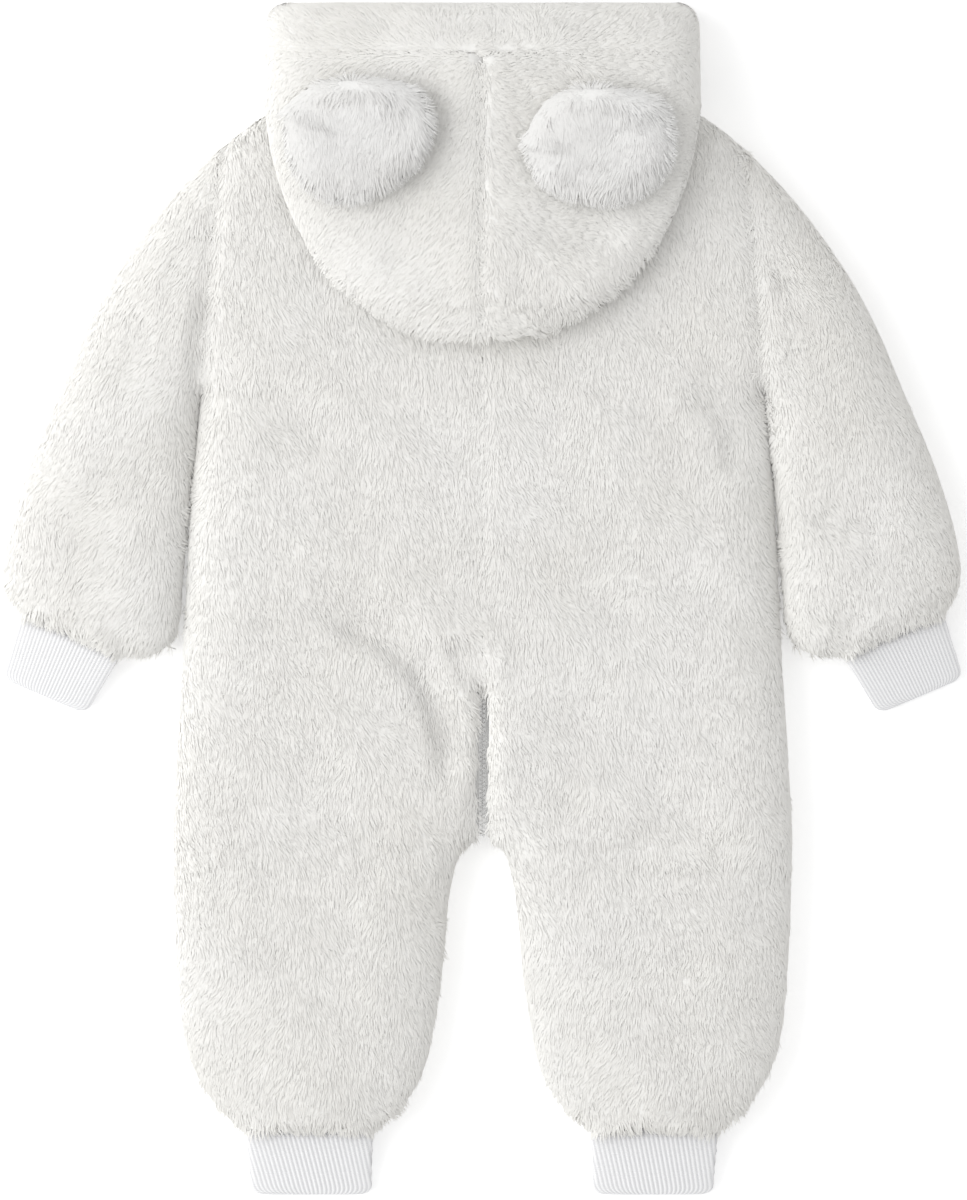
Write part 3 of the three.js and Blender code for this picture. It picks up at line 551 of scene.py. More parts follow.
def seam_lean(x, y, z):
    """A push on the nap near seams, over the middle, armhole and band seams and part of the zip's slot.

    Each is a bell across its seam, times the sign that points at the seam's line. Also given is how near a seam is.
    """
    across = np.abs(x)
    on_hood = (z > HOOD_BASE) & (y > HOOD_TIP)
    on_back = z > SEAM_HEIGHT
    middle = bell(x, 5) * (on_hood + 0.25 * (~on_hood & on_back & (y > ZIP_TOP_ON_BACK)))
    opening = mix(mix(-0.1, 0.2, x > 0), 0.35, smooth((-98 - y) / 16)) * bell(x, 8)
    opening = opening * (on_back & (y < ZIP_TOP_ON_BACK) & (y > CROTCH))
    sleeve_seam = bell(distance([armhole], across, y), 5) * ~on_hood
    from_side = across - x_at(side, y) - 1.2
    beside = bell(from_side, 9) * smooth((y + 34) / 20) * (y < ARMHOLE[1][1])
    band = bell(y - BAND_SEAM, 4) * (y > 300)
    sideways = -np.sign(x) * (middle + opening + np.sign(across - x_at(armhole, y)) * sleeve_seam
                              + 1.4 * np.sign(from_side) * beside)
    push = np.stack([sideways, -np.sign(y - BAND_SEAM) * band], -1)
    return push, np.max([middle, sleeve_seam, band, 2 * np.abs(opening)], 0)


def pile(name, grid, count, nap, depth, material, seed, settings, keep=None, length=1.0, ruffle=1.0, clump=1.0,
         upright=0.5):
    """Locks of pile on a grid, which is the form that their tips reach.

    Each lock is a narrow strip of three triangles. It starts below the form, rises through its middle and lies
    down along the nap. Locks lean to the middle of their tuft, a jittered square of the plan. Their number follows
    the cells' areas times keep, and their tips bend up or down with the form ahead of them.
    """
    rng = np.random.default_rng(seed)
    areas = cell_areas(grid)
    if keep is not None:
        middle = (grid[1:, 1:] + grid[:-1, :-1]) / 2
        areas = areas * keep(middle)
    share = np.cumsum(areas.ravel())
    cell = np.searchsorted(share, rng.uniform(0, share[-1], count))
    i, j = np.unravel_index(np.minimum(cell, areas.size - 1), areas.shape)
    along, down = rng.uniform(0, 1, (2, count))
    row, column = i + down, j + along
    form = sample(grid, row, column)
    normal = of_length_one(sample(normals_of(grid), row, column))
    x, y = form[:, 0], form[:, 1]
    lean, near_seam = seam_lean(x, y, form[:, 2])
    direction = nap(x, y) + 1.1 * lean
    direction = unit(direction[:, 0], direction[:, 1])
    turn = ruffle * settings.ruffle * (0.36 * waves(x, y, 52, 7) + 0.26 * waves(x, y, 16, 8) + 0.12 * waves(x, y, 6, 9))
    turn = turn + rng.normal(0, 0.13, count) + 0.5 * near_seam * rng.normal(0, 1, count)
    cos, sin = np.cos(turn), np.sin(turn)
    flat = np.stack([direction[:, 0] * cos - direction[:, 1] * sin,
                     direction[:, 0] * sin + direction[:, 1] * cos, 0 * x], 1)
    lay = of_length_one(in_plane(flat, normal), 0.35)
    tuft = settings.tuft_mm * clump
    turned_x, turned_y = (0.8 * x + 0.6 * y) / tuft, (0.8 * y - 0.6 * x) / tuft
    cell_x, cell_y = np.floor(turned_x), np.floor(turned_y)
    jitter = np.sin(cell_x * 12.9898 + cell_y * 78.233 + np.array([[0.0], [2.1]])) * 43758.5453
    jitter = (jitter - np.floor(jitter)) - 0.5
    pull_x, pull_y = cell_x + 0.5 + jitter[0] - turned_x, cell_y + 0.5 + jitter[1] - turned_y
    pull = tuft * np.stack([0.8 * pull_x - 0.6 * pull_y, 0.6 * pull_x + 0.8 * pull_y, 0 * x], 1)
    pull = in_plane(pull, normal)
    level = smooth(np.abs(normal[:, 2]) / 0.75)
    long = (length * settings.lock_mm * rng.uniform(0.7, 1.2, count) * mix(0.62, 1, level))[:, None]
    rise = (depth * rng.uniform(0.96, 1.03, count))[:, None]
    root = form - normal * depth
    bend = bend_along(grid, row, column, form, normal, lay * long * 0.8 + pull * 0.34)
    tip = root + normal * (rise + bend) + lay * long * 0.8 + pull * 0.34
    middle = root + normal * (rise * 0.93 + bend * 0.16) + lay * long * 0.3 + pull * 0.16
    upright = np.where(normal[:, 2:] > -0.05, 1.0, -1.0) * np.array([[0, 0, upright]])
    normal = of_length_one(normal + upright)
    across = of_length_one(np.cross(lay, normal))
    roll = rng.normal(0, 0.18, count)[:, None]
    shading = normal + settings.lock_shading * (normal * np.cos(roll) - across * np.sin(roll))
    at_root = shading - 0.1 * lay
    shading = of_length_one(np.stack([at_root, at_root, shading, shading, shading + 0.3 * lay], 1))
    across = across * np.cos(roll) + normal * np.sin(roll)
    half = (settings.lock_width_mm * rng.uniform(0.35, 0.65, count))[:, None]
    points = np.stack([root - across * half * 0.7, root + across * half * 0.7, middle - across * half,
                       middle + across * half, tip], 1)
    points[..., 2] = np.maximum(points[..., 2], LOCK_LOWEST)
    if name.startswith("hood"):
        points = combed_in(points)
    first = np.arange(count)[:, None] * 5
    faces = np.concatenate([first + [0, 1, 3], first + [0, 3, 2], first + [2, 3, 4]])
    # Root-to-tip shares for the pile's colour: the darker roots are painted shade, and tone is a random shift per lock.
    tone = rng.uniform(-0.1, 0.1, (count, 1))
    shares = np.array([[0.0, 0.0, 0.6, 0.6, 1.0]]) + tone
    return mesh_object(name, points, faces, material, root_share=shares, normals=shading)


# Materials
def material(name, build):
    """A node material with one Principled shader, finished by build(nodes, links, shader)."""
    made = bpy.data.materials.new(name)
    made.use_nodes = True
    nodes, links = made.node_tree.nodes, made.node_tree.links
    build(nodes, links, nodes["Principled BSDF"])
    return made


def set_inputs(node, **values):
    """A node's inputs by name, with each space written as an underscore."""
    for name, value in values.items():
        node.inputs[name.replace("_", " ")].default_value = value


def texture_node(nodes, links, kind, **values):
    """A texture over object coordinates, so that it stays with the mesh."""
    place = nodes.new("ShaderNodeTexCoord")
    texture = nodes.new(f"ShaderNodeTex{kind}")
    set_inputs(texture, **values)
    links.new(place.outputs["Object"], texture.inputs["Vector"])
    return texture


def ramp_node(nodes, links, source, stops, into=None):
    """A colour ramp with stops of (position, colour), linked into an input if one is given."""
    ramp = nodes.new("ShaderNodeValToRGB")
    elements = ramp.color_ramp.elements
    while len(elements) < len(stops):
        elements.new(0.5)
    for element, (position, colour) in zip(elements, stops):
        element.position = position
        element.color = (*colour, 1)
    links.new(source, ramp.inputs["Fac"])
    if into is not None:
        links.new(ramp.outputs["Color"], into)
    return ramp


def bump_node(nodes, links, height, strength, distance_m, shader):
    """Bump from a height, into the shader's normal."""
    bump = nodes.new("ShaderNodeBump")
    set_inputs(bump, Strength=strength, Distance=distance_m)
    links.new(height, bump.inputs["Height"])
    links.new(bump.outputs["Normal"], shader.inputs["Normal"])


def pile_material(name, root, tip):
    """Fleece pile: darker and warmer at the roots, which is painted shade down between the locks, pale at the tips,
    with faint large mottling and a sheen.
    """

    def build(nodes, links, shader):
        share = nodes.new("ShaderNodeAttribute")
        share.attribute_name = "pile"
        # Painted shade: the colour darkens from tip to root, standing for the shade down in the pile.
        ramp = ramp_node(nodes, links, share.outputs["Fac"], [(0.0, root), (0.55, mix_colour(root, tip, 0.75)),
                                                              (1.0, tip)])
        noise = texture_node(nodes, links, "Noise", Scale=14, Detail=2)
        mottle = ramp_node(nodes, links, noise.outputs["Fac"], [(0.3, (0.955, 0.95, 0.94)), (0.7, (1, 1, 1))])
        blend = nodes.new("ShaderNodeMix")
        blend.data_type = "RGBA"
        blend.blend_type = "MULTIPLY"
        blend.inputs["Factor"].default_value = 1
        links.new(ramp.outputs["Color"], blend.inputs["A"])
        links.new(mottle.outputs["Color"], blend.inputs["B"])
        links.new(blend.outputs["Result"], shader.inputs["Base Color"])
        set_inputs(shader, Roughness=0.85, Specular_IOR_Level=0.2, Sheen_Weight=0.25, Sheen_Roughness=0.5)

    return material(name, build)


def mix_colour(a, b, t):
    """A colour between two, channel by channel."""
    return tuple(mix(p, q, t) for p, q in zip(a, b))


def backing_material(name, colour):
    """The cloth under the pile: a felted backing with fine noise in colour and height."""

    def build(nodes, links, shader):
        noise = texture_node(nodes, links, "Noise", Scale=260, Detail=4)
        ramp_node(nodes, links, noise.outputs["Fac"], [(0.3, tuple(0.95 * c for c in colour)), (0.7, colour)],
                  shader.inputs["Base Color"])
        bump_node(nodes, links, noise.outputs["Fac"], 0.5, 0.001, shader)
        set_inputs(shader, Roughness=0.95, Specular_IOR_Level=0.15, Sheen_Weight=0.2)

    return material(name, build)


def knit_material():
    """White rib knit: rows of small stitches as a wave along the cuff, darker between the ribs as painted shade."""

    def build(nodes, links, shader):
        share = nodes.new("ShaderNodeAttribute")
        share.attribute_name = "pile"
        # Painted shade: the colour darkens from the rib tops down into the hollows between the ribs.
        ramp_node(nodes, links, share.outputs["Fac"],
                  [(0.0, (0.73, 0.73, 0.745)), (0.6, (0.88, 0.88, 0.89)), (1.0, (0.92, 0.92, 0.925))],
                  shader.inputs["Base Color"])
        wave = texture_node(nodes, links, "Wave", Scale=280, Distortion=3, Detail=2, Detail_Scale=2)
        wave.bands_direction = "Y"
        bump_node(nodes, links, wave.outputs["Fac"], 0.35, 0.0005, shader)
        set_inputs(shader, Roughness=0.8, Specular_IOR_Level=0.25, Sheen_Weight=0.15)

    return material("rib_knit", build)


def tape_material():
    """Woven zip tape: a fine herringbone as a wave across it."""

    def build(nodes, links, shader):
        wave = texture_node(nodes, links, "Wave", Scale=400, Distortion=1)
        wave.bands_direction = "DIAGONAL"
        ramp_node(nodes, links, wave.outputs["Fac"], [(0.2, (0.9, 0.9, 0.895)), (0.8, (0.96, 0.96, 0.955))],
                  shader.inputs["Base Color"])
        bump_node(nodes, links, wave.outputs["Fac"], 0.3, 0.0003, shader)
        set_inputs(shader, Roughness=0.8)

    return material("zip_tape", build)


def plastic_material():
    """White moulded plastic with faint wear in its roughness."""

    def build(nodes, links, shader):
        noise = texture_node(nodes, links, "Noise", Scale=180, Detail=3)
        ramp_node(nodes, links, noise.outputs["Fac"], [(0.3, (0.36, 0.36, 0.36)), (0.7, (0.5, 0.5, 0.5))],
                  shader.inputs["Roughness"])
        ramp_node(nodes, links, noise.outputs["Fac"], [(0.3, (0.87, 0.87, 0.865)), (0.7, (0.91, 0.91, 0.905))],
                  shader.inputs["Base Color"])

    return material("zip_plastic", build)


# Pile colours from root to tip; the darker roots are painted shade down in the pile.
FLEECE_SHADED_ROOT, FLEECE_TIP = (0.85, 0.838, 0.81), (0.9, 0.893, 0.868)
# The ears' colours are a darker copy of the fleece's: painted shade on the ears, with painted shade at the roots too.
EAR_SHADED_ROOT, EAR_SHADED_TIP = (0.79, 0.785, 0.77), (0.87, 0.867, 0.857)
made_materials = {}


def shared(name):
    """A shared material by name, made when first wanted."""
    makers = {
        "fleece_pile": lambda: pile_material("fleece_pile", FLEECE_SHADED_ROOT, FLEECE_TIP),
        # The ear pile is the fleece pile in darker colours: painted shade on the ears.
        "ear_pile": lambda: pile_material("ear_pile", EAR_SHADED_ROOT, EAR_SHADED_TIP),
        "fleece_backing": lambda: backing_material("fleece_backing", (0.9, 0.893, 0.868)),
        "ear_backing": lambda: backing_material("ear_backing", (0.9, 0.895, 0.88)),
        "rib_knit": knit_material,
        "zip_tape": tape_material,
        "zip_plastic": plastic_material,
    }
    if name not in made_materials:
        made_materials[name] = makers[name]()
    return made_materials[name]


def finish_piece(made, node):
    """A piece that stands for a CAD node and rides on the suit; that node, if given, is hidden."""
    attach(made, "suit")
    if node:
        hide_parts(node)


# Nap directions, as unit vectors in plan
def unit(x, y):
    """Unit vectors from two components."""
    return np.stack([x, y], -1) / np.maximum(np.hypot(x, y), 1e-9)[..., None]


def body_nap(x, y):
    """Down the body, leaning out on the legs and toward the lower right across the upper back."""
    leg = smooth((-150 - y) / 90)
    out = np.sign(x) * (np.abs(x) - 100) / 80
    return unit(0.32 * (1 - leg) + 0.55 * leg * out, -1 + 0 * x)


def sleeve_nap(x, y):
    """Down along the sleeve."""
    return unit(0.42 * np.sign(x), -1 + 0 * x)


def hood_nap(x, y):
    """Smooth to the lower left on the left half, and right or lower right on the right half."""
    lower = smooth((250 - y) / 90)
    return unit(np.where(x < 0, -0.5, 0.95 - 0.4 * lower) + 0.1, np.where(x < 0, -0.6, -0.35 - 0.6 * lower))


def band_nap(x, y):
    """Up and away from the middle, as a fan."""
    return unit(x / 90, 0.9 + 0 * x)


def ear_nap(x, y):
    """Down the ear, and out over its rim."""
    down = unit(0.12 + 0 * x, -1 + 0 * x)
    (cx, cy), rim = EARS["left" if np.mean(x) < 0 else "right"]
    edge = smooth_line([*rim, rim[0]], 72) + [cx, cy]
    near = bell(distance([edge], x, y), 6) * mix(2.0, 1.5, smooth((cy + 6 - y) / 24))
    out = unit(x - cx, y - cy)
    turned = down + near[..., None] * out
    return unit(turned[..., 0], turned[..., 1])


def number(name, description, default):
    """A setting that holds a number."""
    return bpy.props.FloatProperty(name=name, description=description, default=default)


class SuitSettings(bpy.types.PropertyGroup):
    """Settings of the snowsuit's pile."""

    lock_mm: number("Lock length", "Mean length of a lock, in mm", 11.0)
    lock_width_mm: number("Lock width", "Width of a lock, in mm", 1.0)
    lock_shading: number("Lock shading", "How much each lock's own turn shows in its shading", 0.16)
    tuft_mm: number("Tuft", "Size of a tuft, in mm", 3.6)
    ruffle: number("Ruffle", "How far the nap wanders, from 0 to 1", 0.8)
    backing_share: number("Backing", "Depth of the closed pile, as a share of the pile", 0.125)
    pile_depth_mm: number("Pile", "Height of the standing pile, in mm", 6.0)
    density: number("Density", "Share of the full number of locks", 1.0)


def furred(node, shell, inner, form, full, nap, depth, seed, s, kind="fleece", slot="fleece", ring=False, **more):
    """A node's backing wall, and its pile with the full number of locks times the density, as two pieces."""
    cloth = wall(f"{node}_cloth", shell, inner, shared(f"{kind}_backing"), ring)
    fur = pile(f"{node}_pile", form, max(10, int(full * s.density)), nap, depth, shared(f"{kind}_pile"), seed, s,
               **more)
    finish_piece(cloth, node)
    finish_piece(fur, None)
    return cloth, fur


class SUIT_OT_body(bpy.types.Operator):
    """Make the back and front panels with their pile."""

    bl_idname = "suit.body"
    bl_label = "Body Panels"

    def execute(self, context):
        s = context.scene.suit
        for name, sign in SIDES:
            x, y = panel_plan(BACK_ENDS, 60, back_top,
                              lambda v: np.where(v > ZIP_TOP_ON_BACK - 1, SEAM_GAP / 2, ZIP_SLOT / 2), 4.4)
            self.panel(s, f"back_{name}", x, y, sign, 1)
            x, y = panel_plan(FRONT_ENDS, 30, front_top, lambda v: np.where(v > 205, PULL_SLOT / 2, ZIP_SLOT / 2), 9)
            self.panel(s, f"front_{name}", x, y, sign, -1)
        return {"FINISHED"}

    def panel(self, s, name, x, y, sign, way):
        """One panel: a backing wall, inset by the pile, and the pile that reaches its form."""
        z = back_height(sign * x, y) if way > 0 else front_height(x, y)
        grid = facing(side_grid(x, y, z, sign), way)
        depth = s.pile_depth_mm if way > 0 else FRONT_PILE
        outer = inset_grid(grid, depth * s.backing_share)
        if way < 0:
            outer[..., 2] = np.maximum(outer[..., 2], BACKING_LOWEST)
        inner = outer.copy()
        inner[..., 2] = inner_height(outer[..., 0], outer[..., 1], way)
        outer[..., 2] = way * np.maximum(way * outer[..., 2], way * inner[..., 2] + 0.8)

        def keep(p):
            """None under the hood, all elsewhere on the back, and few where the front rests."""
            if way < 0:
                return np.where(p[..., 2] < RESTING, FRONT_PRESSED, 1.0)
            under_hood = (np.abs(p[..., 0]) < hood_width(p[..., 1]) - 12) & (p[..., 1] > HOOD_TIP + 12)
            return np.where(under_hood, 0.0, 1.0)

        full, length = (LOCKS["back"], 1.0) if way > 0 else (LOCKS["front"], 0.6)
        cloth, fur = furred(name, outer, inner, grid, full, body_nap, depth, 40 + 3 * way + sign, s, keep=keep,
                            length=length)


class SUIT_OT_sleeves(bpy.types.Operator):
    """Make the two sleeves with their pile."""

    bl_idname = "suit.sleeves"
    bl_label = "Sleeves"

    def execute(self, context):
        s = context.scene.suit
        for name, sign in SIDES:
            x, y = sleeve_plan(36, 60)
            top = side_grid(x, y, back_height(sign * x, y), sign)
            low = side_grid(x, y, front_height(x, y), sign)[:, ::-1]
            ring = np.concatenate([top, low], 1)
            if normals_of(top)[..., 2].mean() < 0:
                ring = ring[:, ::-1]
            columns = ring.shape[1]
            outer = inset_grid(ring, s.pile_depth_mm * s.backing_share)
            resting = ring[..., 2] < RESTING
            outer[..., 2] = np.where(resting, BACKING_LOWEST, np.maximum(outer[..., 2], BACKING_LOWEST))
            middle = (outer[:, :1] + outer[:, columns // 2: columns // 2 + 1]) / 2
            inner = middle + (outer - middle) * 0.8
            inner[..., 2] = SEAM_HEIGHT + np.where(ring[..., 2] > SEAM_HEIGHT, 1, -1) * SLIT / 2
            outer[..., 2] = np.where(ring[..., 2] > SEAM_HEIGHT, np.maximum(outer[..., 2], SEAM_HEIGHT + 2.2),
                                     np.minimum(outer[..., 2], SEAM_HEIGHT - 2.2))
            cloth, fur = furred(f"sleeve_{name}", outer, inner, ring, LOCKS["sleeve"], sleeve_nap, s.pile_depth_mm,
                                60 + sign, s, ring=True,
                                keep=lambda p: np.where(p[..., 2] < RESTING, SLEEVE_PRESSED, 1.0))
        return {"FINISHED"}


class SUIT_OT_hood(bpy.types.Operator):
    """Make the hood halves and the band round its opening."""

    bl_idname = "suit.hood"
    bl_label = "Hood"

    def execute(self, context):
        s = context.scene.suit
        steps = 1 - (1 - np.linspace(0, 1, 30)) ** 1.5
        ys = np.concatenate([np.linspace(BAND_SEAM - 0.15, 172, 34), 160.5 + 11.5 * np.cos(np.linspace(0.3, 3.1, 16))])
        ys = -np.unique(-np.clip(ys, 148.8, None))
        for name, sign in SIDES:
            outer, inner = (grid * [sign, 1, 1] for grid in hood_grids(ys, steps, False, sign))
            self.part(s, f"hood_{name}", outer, inner, slice(8), LOCKS["hood"], hood_nap, 80 + sign)
        ys = np.concatenate([[BAND_SEAM + 0.15], np.linspace(313, 328, 5), HOOD_END - 11 * (1 - eased(14)[7:]) * 2])
        halves = hood_grids(-np.unique(-ys)[::-1], steps, True, 1)
        outer, inner = (np.concatenate([(half * [-1, 1, 1])[:, ::-1], half[:, 1:]], 1) for half in halves)
        self.part(s, "hood_band", outer, inner, outer.shape[1] // 2, LOCKS["hood_band"], band_nap, 90)
        return {"FINISHED"}

    def part(self, s, name, outer, inner, on_top, full, nap, seed):
        """A half, or the band as both halves in one: a wall round the fold, with pile on its outer face.

        The wall is inset by the closed pile, and halved where it would be thinner than 1 mm.
        """
        if normals_of(outer)[:, on_top, 2].mean() < 0:
            outer, inner = outer[:, ::-1], inner[:, ::-1]
        shell = inset_grid(outer, HOOD_PILE * s.backing_share)
        shell[..., 2] = np.maximum(shell[..., 2], SHELL_LOWEST)
        low = (outer + inner) / 2
        shell = np.where(np.abs(shell[..., 2:] - inner[..., 2:]) < 1.0, low, shell)

        def keep(p):
            """Few on the under layer, inside its fold and below the open end, and all elsewhere."""
            hidden = (p[..., 2] < 40) & (np.abs(p[..., 0]) < hood_width(p[..., 1]) - 14) & (p[..., 1] < 296)
            return np.where(hidden, HOOD_INSIDE, 1.0)

        ruffle, clump = HOOD_RUFFLE[name]
        cloth, fur = furred(name, shell, inner, outer, full, nap, HOOD_PILE, seed, s, keep=keep, length=0.95,
                            ruffle=ruffle, clump=clump)


class SUIT_OT_ears(bpy.types.Operator):
    """Make the two ears, each from a front and a back piece."""

    bl_idname = "suit.ears"
    bl_label = "Ears"

    def execute(self, context):
        s = context.scene.suit
        base = HOOD_TOP + SEAM_GAP
        middle = base + EAR_THICK / 2
        for name, ear in EARS.items():
            for part, flat, domed in (("front", middle + SEAM_GAP / 2, base + EAR_THICK),
                                      ("back", middle - SEAM_GAP / 2, base)):
                self.piece(s, f"ear_{name}_{part}", ear, flat, domed, LOCKS[f"ear_{part}"])
        return {"FINISHED"}

    def piece(self, s, name, ear, flat, domed, full):
        """One ear piece: rings of the rim, raised as a quarter ellipse in from it, over a flat seam face."""
        (cx, cy), rim = ear
        ring = smooth_line([*rim, rim[0]], 72) * 0.93
        shares = np.clip(1 - eased(26)[::-1][:, None], 0.004, 1)
        way = np.sign(domed - flat)
        rise = abs(domed - flat) - EAR_EDGE
        x = cx + ring[None, :, 0] * shares
        y = cy + ring[None, :, 1] * shares
        roll = 0
        if way > 0:
            hollow = 1.8 * np.exp(-(((x - cx - 12) / 19) ** 2) - (((y - cy - 8) / 15) ** 2))
            crease = 0.5 * bell(distance([np.array([(-14, -19), (10, -12), (27, 6)]) + [cx, cy]], x, y), 7)
            roll = -hollow - crease - 0.3 * (1 + waves(x, y, 26, 31))
        z = flat + way * (EAR_EDGE + rise * round_off((1 - shares) / 0.5)) + np.minimum(roll, 0) + 0 * x
        grid = facing(np.stack([x, y, z], -1), way)
        shell = inset_grid(grid, EAR_PILE * s.backing_share)
        shell[..., 2] = np.where(way * (shell[..., 2] - flat) < 0.5, flat + way * 0.5, shell[..., 2])
        inner = shell.copy()
        inner[..., 2] = flat
        # The ears' pile takes the darker ear colours, painted shade on the ears.
        cloth, _ = furred(name, shell, inner, grid, full, ear_nap, EAR_PILE, len(name), s, "ear", "ear_fleece",
                          length=1.15, upright=1.3)


class SUIT_OT_cuffs(bpy.types.Operator):
    """Make the ribbed cuffs of the legs and sleeves."""

    bl_idname = "suit.cuffs"
    bl_label = "Ribbed Cuffs"

    def execute(self, context):
        for kind, shape in CUFFS.items():
            for name, sign in SIDES:
                self.cuff(f"cuff_{kind}_{name}", shape, sign)
        return {"FINISHED"}

    def rings(self, shape, shares, thick, narrow, rib, sign):
        """Flattened rings along a cuff, with ribs as raised cosine ridges."""
        (x0, y0), (x1, y1), (ax, ay), top_width, end_width, ribs, _, twist = shape
        count = ribs * 2 * RIB_POINTS
        t = shares[:, None]
        place = np.arange(count)[None, :] + 0.5
        i = (place - sign * twist * RIB_POINTS * t) % count
        turn = 2 * np.pi * i / count
        run = 1 - 2 * (i % (count / 2)) / (count / 2)
        side_of = np.where(i < count / 2, 1, -1)
        hem = 1.2 * smooth((t - 0.93) / 0.07)
        long = math.hypot(x1 - x0, y1 - y0)
        into = np.clip(t * long - (long - CUFF_CORNER), 0, CUFF_CORNER)
        corner = 2 * (CUFF_CORNER - np.sqrt(CUFF_CORNER**2 - into**2))
        width = mix(top_width, end_width, t) - narrow - hem - corner
        out = width / 2 * run * side_of
        ridge = (0.5 - 0.5 * np.cos(2 * np.pi * (place - 0.5) / RIB_POINTS)) * smooth((1 - t) / 0.03 + 0.3)
        up = np.sign(np.sin(turn)) * np.abs(np.sin(turn)) ** 0.3 * ((thick - hem) / 2 + rib * ridge)
        z = mix(SEAM_HEIGHT, CUFF_END_HEIGHT, t) + up
        grid = np.stack([sign * (mix(x0, x1, t) + ax * out), mix(y0, y1, t) + ay * out, z], -1)
        return grid, ridge + 0 * z

    def cuff(self, name, shape, sign):
        """One cuff: a ribbed wall with its rib share kept for the knit's colour, which paints shade between the ribs.
        """
        shares = np.concatenate([np.linspace(0, 0.84, 6), 0.84 + 0.16 * np.sin(np.linspace(0.2, np.pi / 2, 7))])
        outer, ridge = self.rings(shape, shares, CUFF_THICK, 0, shape[6], sign)
        inner, _ = self.rings(shape, shares, CUFF_THICK - 2 * CUFF_WALL, 2 * CUFF_WALL, 0, sign)
        made = wall(name + "_knit", outer, inner, shared("rib_knit"), ring=True)
        # The rib share darkens the knit between the ribs as painted shade; the inside takes a middle share.
        layer = made.data.attributes.new("pile", "FLOAT", "POINT")
        layer.data.foreach_set("value", np.concatenate([ridge.ravel(), 0.5 + 0 * ridge.ravel()]).astype(np.float32))
        finish_piece(made, name)


class SUIT_OT_zip(bpy.types.Operator):
    """Make the zip's teeth, and finish its tapes, slider and pull."""

    bl_idname = "suit.zip"
    bl_label = "Zip"

    def execute(self, context):
        for name in ("zip_tape_left", "zip_tape_right"):
            self.repaint(name, "zip_tape")
        for name in ("zip_slider", "zip_pull"):
            self.repaint(name, "zip_plastic")
        self.teeth()
        return {"FINISHED"}

    def repaint(self, name, kind):
        """A CAD node whose shape is right gets a better material."""
        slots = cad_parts[name].data.materials
        slots.clear()
        slots.append(shared(kind))

    def teeth(self):
        """Teeth as small six-sided blocks, taking turns from left and right, along the front, round and up."""
        route = np.array([(THROAT - 4, TEETH_LOW), (-132, TEETH_LOW), (-133.6, 15.1), (-134.2, 16), (-133.6, 16.9),
                          (-132, TEETH_HIGH), (ZIP_TOP_ON_BACK - 4.5, TEETH_HIGH)])
        run = np.concatenate([[0], np.cumsum(np.linalg.norm(np.diff(route, axis=0), axis=1))])
        at = np.arange(0.8, run[-1] - 0.6, TOOTH_PITCH)
        y, z = np.interp(at, run, route[:, 0]), np.interp(at, run, route[:, 1])
        ahead = of_length_one(np.stack([np.interp(at + 0.2, run, route[:, n]) - (y, z)[n] for n in (0, 1)], 1))
        way = np.where(np.arange(len(at)) % 2, 1, -1)
        corners = np.array([(-0.5, -0.5, -0.8), (2.9, -0.42, -0.9), (2.9, 0.42, -0.9), (-0.5, 0.5, -0.8),
                            (-0.3, -0.36, 0.9), (2.5, -0.32, 1.05), (2.5, 0.32, 1.05), (-0.3, 0.36, 0.9)])
        off = corners[None] * [0.5, 1, 1]
        x = way[:, None] * off[..., 0]
        yy = y[:, None] + off[..., 1] * ahead[:, :1] - off[..., 2] * ahead[:, 1:]
        zz = z[:, None] + off[..., 1] * ahead[:, 1:] + off[..., 2] * ahead[:, :1]
        points = np.stack([x, yy, zz], -1)
        cube = np.array([(0, 3, 2, 1), (4, 5, 6, 7), (0, 1, 5, 4), (1, 2, 6, 5), (2, 3, 7, 6), (3, 0, 4, 7)])
        first = np.arange(len(at))[:, None, None] * 8
        faces = first + np.where(way[:, None, None] > 0, cube[None], cube[None, :, ::-1])
        made = mesh_object("zip_teeth", points, faces.reshape(-1, 4), shared("zip_plastic"), smooth_faces=False)
        bevel = made.modifiers.new("rounded", "BEVEL")
        bevel.width = 0.0001
        bevel.segments = 1
        finish_piece(made, "zip_chain")


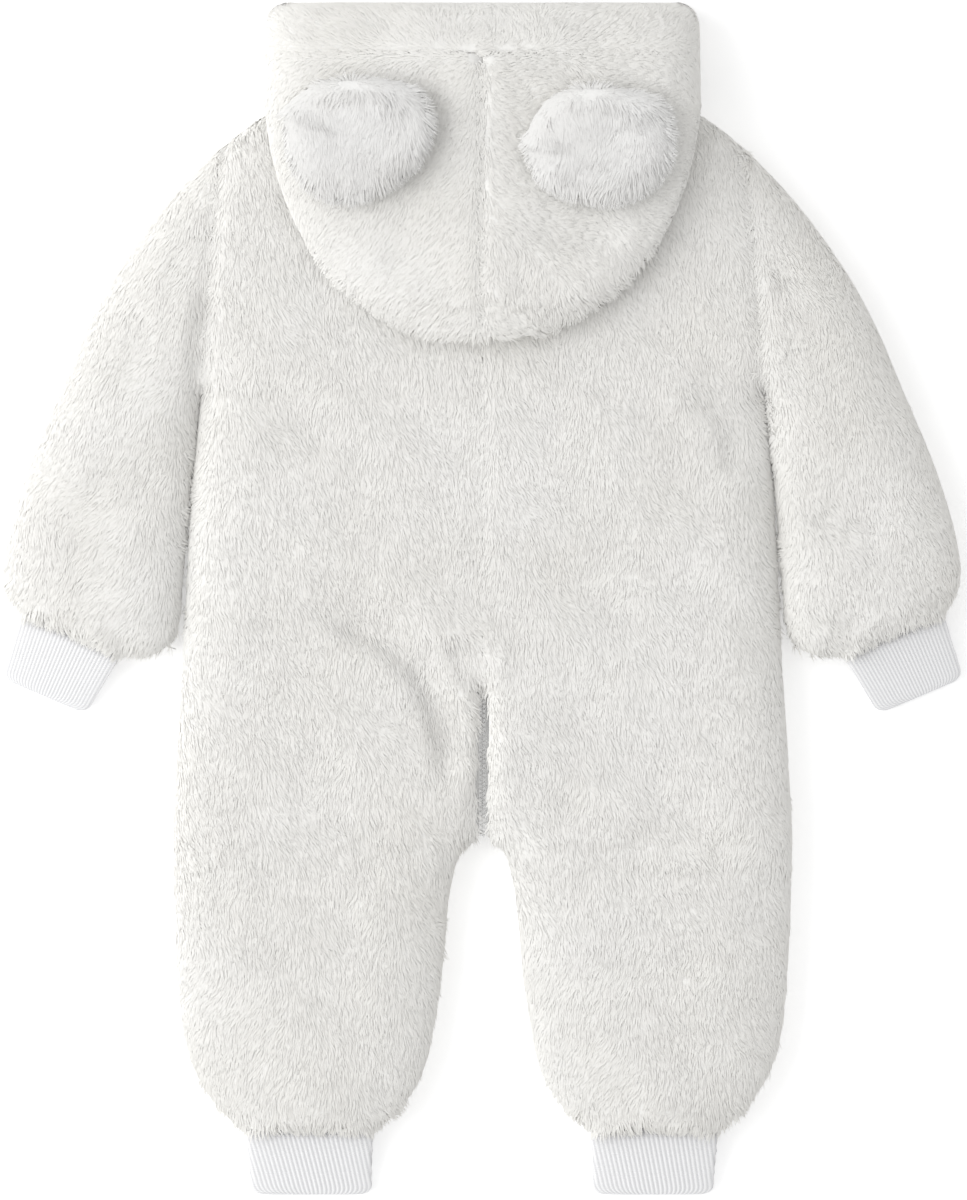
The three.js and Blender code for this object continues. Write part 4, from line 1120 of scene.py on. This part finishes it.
class SUIT_OT_stage(bpy.types.Operator):
    """Make the pale floor, the soft lights and the camera straight above."""

    bl_idname = "suit.stage"
    bl_label = "Stage"

    def execute(self, context):
        scene = context.scene
        self.floor()
        world = bpy.data.worlds.new("studio")
        world.use_nodes = True
        set_inputs(world.node_tree.nodes["Background"], Color=(1, 1, 1, 1), Strength=0.6)
        scene.world = world
        self.lamp("key", (-2.5, 0.2, 1.8), 3.2, 69)
        self.lamp("fill", (0, 0, 2.8), 2.6, 14)
        camera = bpy.data.cameras.new("camera")
        camera.lens = 200
        camera.sensor_width = 36
        camera.clip_end = 20
        placed = bpy.data.objects.new("camera", camera)
        placed.location = (0.0007, 0, 3.8 + SEAM_HEIGHT * MM)
        scene.collection.objects.link(placed)
        scene.camera = placed
        scene.view_settings.view_transform = "Standard"
        return {"FINISHED"}

    def floor(self):
        """A wide square just below the suit, plain from above and clear from below."""
        points = np.array([(-4000, -4000, -0.2), (4000, -4000, -0.2), (4000, 4000, -0.2), (-4000, 4000, -0.2)])

        def build(nodes, links, shader):
            set_inputs(shader, Base_Color=(0.9, 0.9, 0.9, 1), Roughness=0.9, Specular_IOR_Level=0.1,
                       Emission_Color=(1, 1, 1, 1), Emission_Strength=0.3)
            clear = nodes.new("ShaderNodeBsdfTransparent")
            blend = nodes.new("ShaderNodeMixShader")
            sight = nodes.new("ShaderNodeNewGeometry")
            links.new(sight.outputs["Backfacing"], blend.inputs["Fac"])
            links.new(shader.outputs["BSDF"], blend.inputs[1])
            links.new(clear.outputs["BSDF"], blend.inputs[2])
            links.new(blend.outputs["Shader"], nodes["Material Output"].inputs["Surface"])

        mesh_object("floor", points, [(0, 1, 2, 3)], material("pale_floor", build))

    def lamp(self, name, place, size, power):
        """A square soft light aimed at the suit."""
        light = bpy.data.lights.new(name, "AREA")
        light.size = size
        light.energy = power
        made = bpy.data.objects.new(name, light)
        made.location = place
        made.rotation_euler = (-Vector(place)).to_track_quat("-Z", "Y").to_euler()
        bpy.context.scene.collection.objects.link(made)


class SUIT_PT_panel(bpy.types.Panel):
    """Sidebar panel with the settings and the steps."""

    bl_label = "Snowsuit"
    bl_idname = "SUIT_PT_panel"
    bl_space_type = "VIEW_3D"
    bl_region_type = "UI"
    bl_category = "Snowsuit"

    def draw(self, context):
        for field in SuitSettings.__annotations__:
            self.layout.prop(context.scene.suit, field)
        for step in STEPS:
            self.layout.operator(step.bl_idname)


STEPS = (SUIT_OT_body, SUIT_OT_sleeves, SUIT_OT_hood, SUIT_OT_ears, SUIT_OT_cuffs, SUIT_OT_zip, SUIT_OT_stage)


def register():
    """Add the settings, the operators and the panel."""
    for kind in (SuitSettings, *STEPS, SUIT_PT_panel):
        bpy.utils.register_class(kind)
    bpy.types.Scene.suit = bpy.props.PointerProperty(type=SuitSettings)


def unregister():
    """Remove them again."""
    del bpy.types.Scene.suit
    for kind in reversed((SuitSettings, *STEPS, SUIT_PT_panel)):
        bpy.utils.unregister_class(kind)


def main():
    register()
    bpy.ops.suit.body()
    bpy.ops.suit.sleeves()
    bpy.ops.suit.hood()
    bpy.ops.suit.ears()
    bpy.ops.suit.cuffs()
    bpy.ops.suit.zip()
    bpy.ops.suit.stage()


if __name__ == "__main__":
    main()
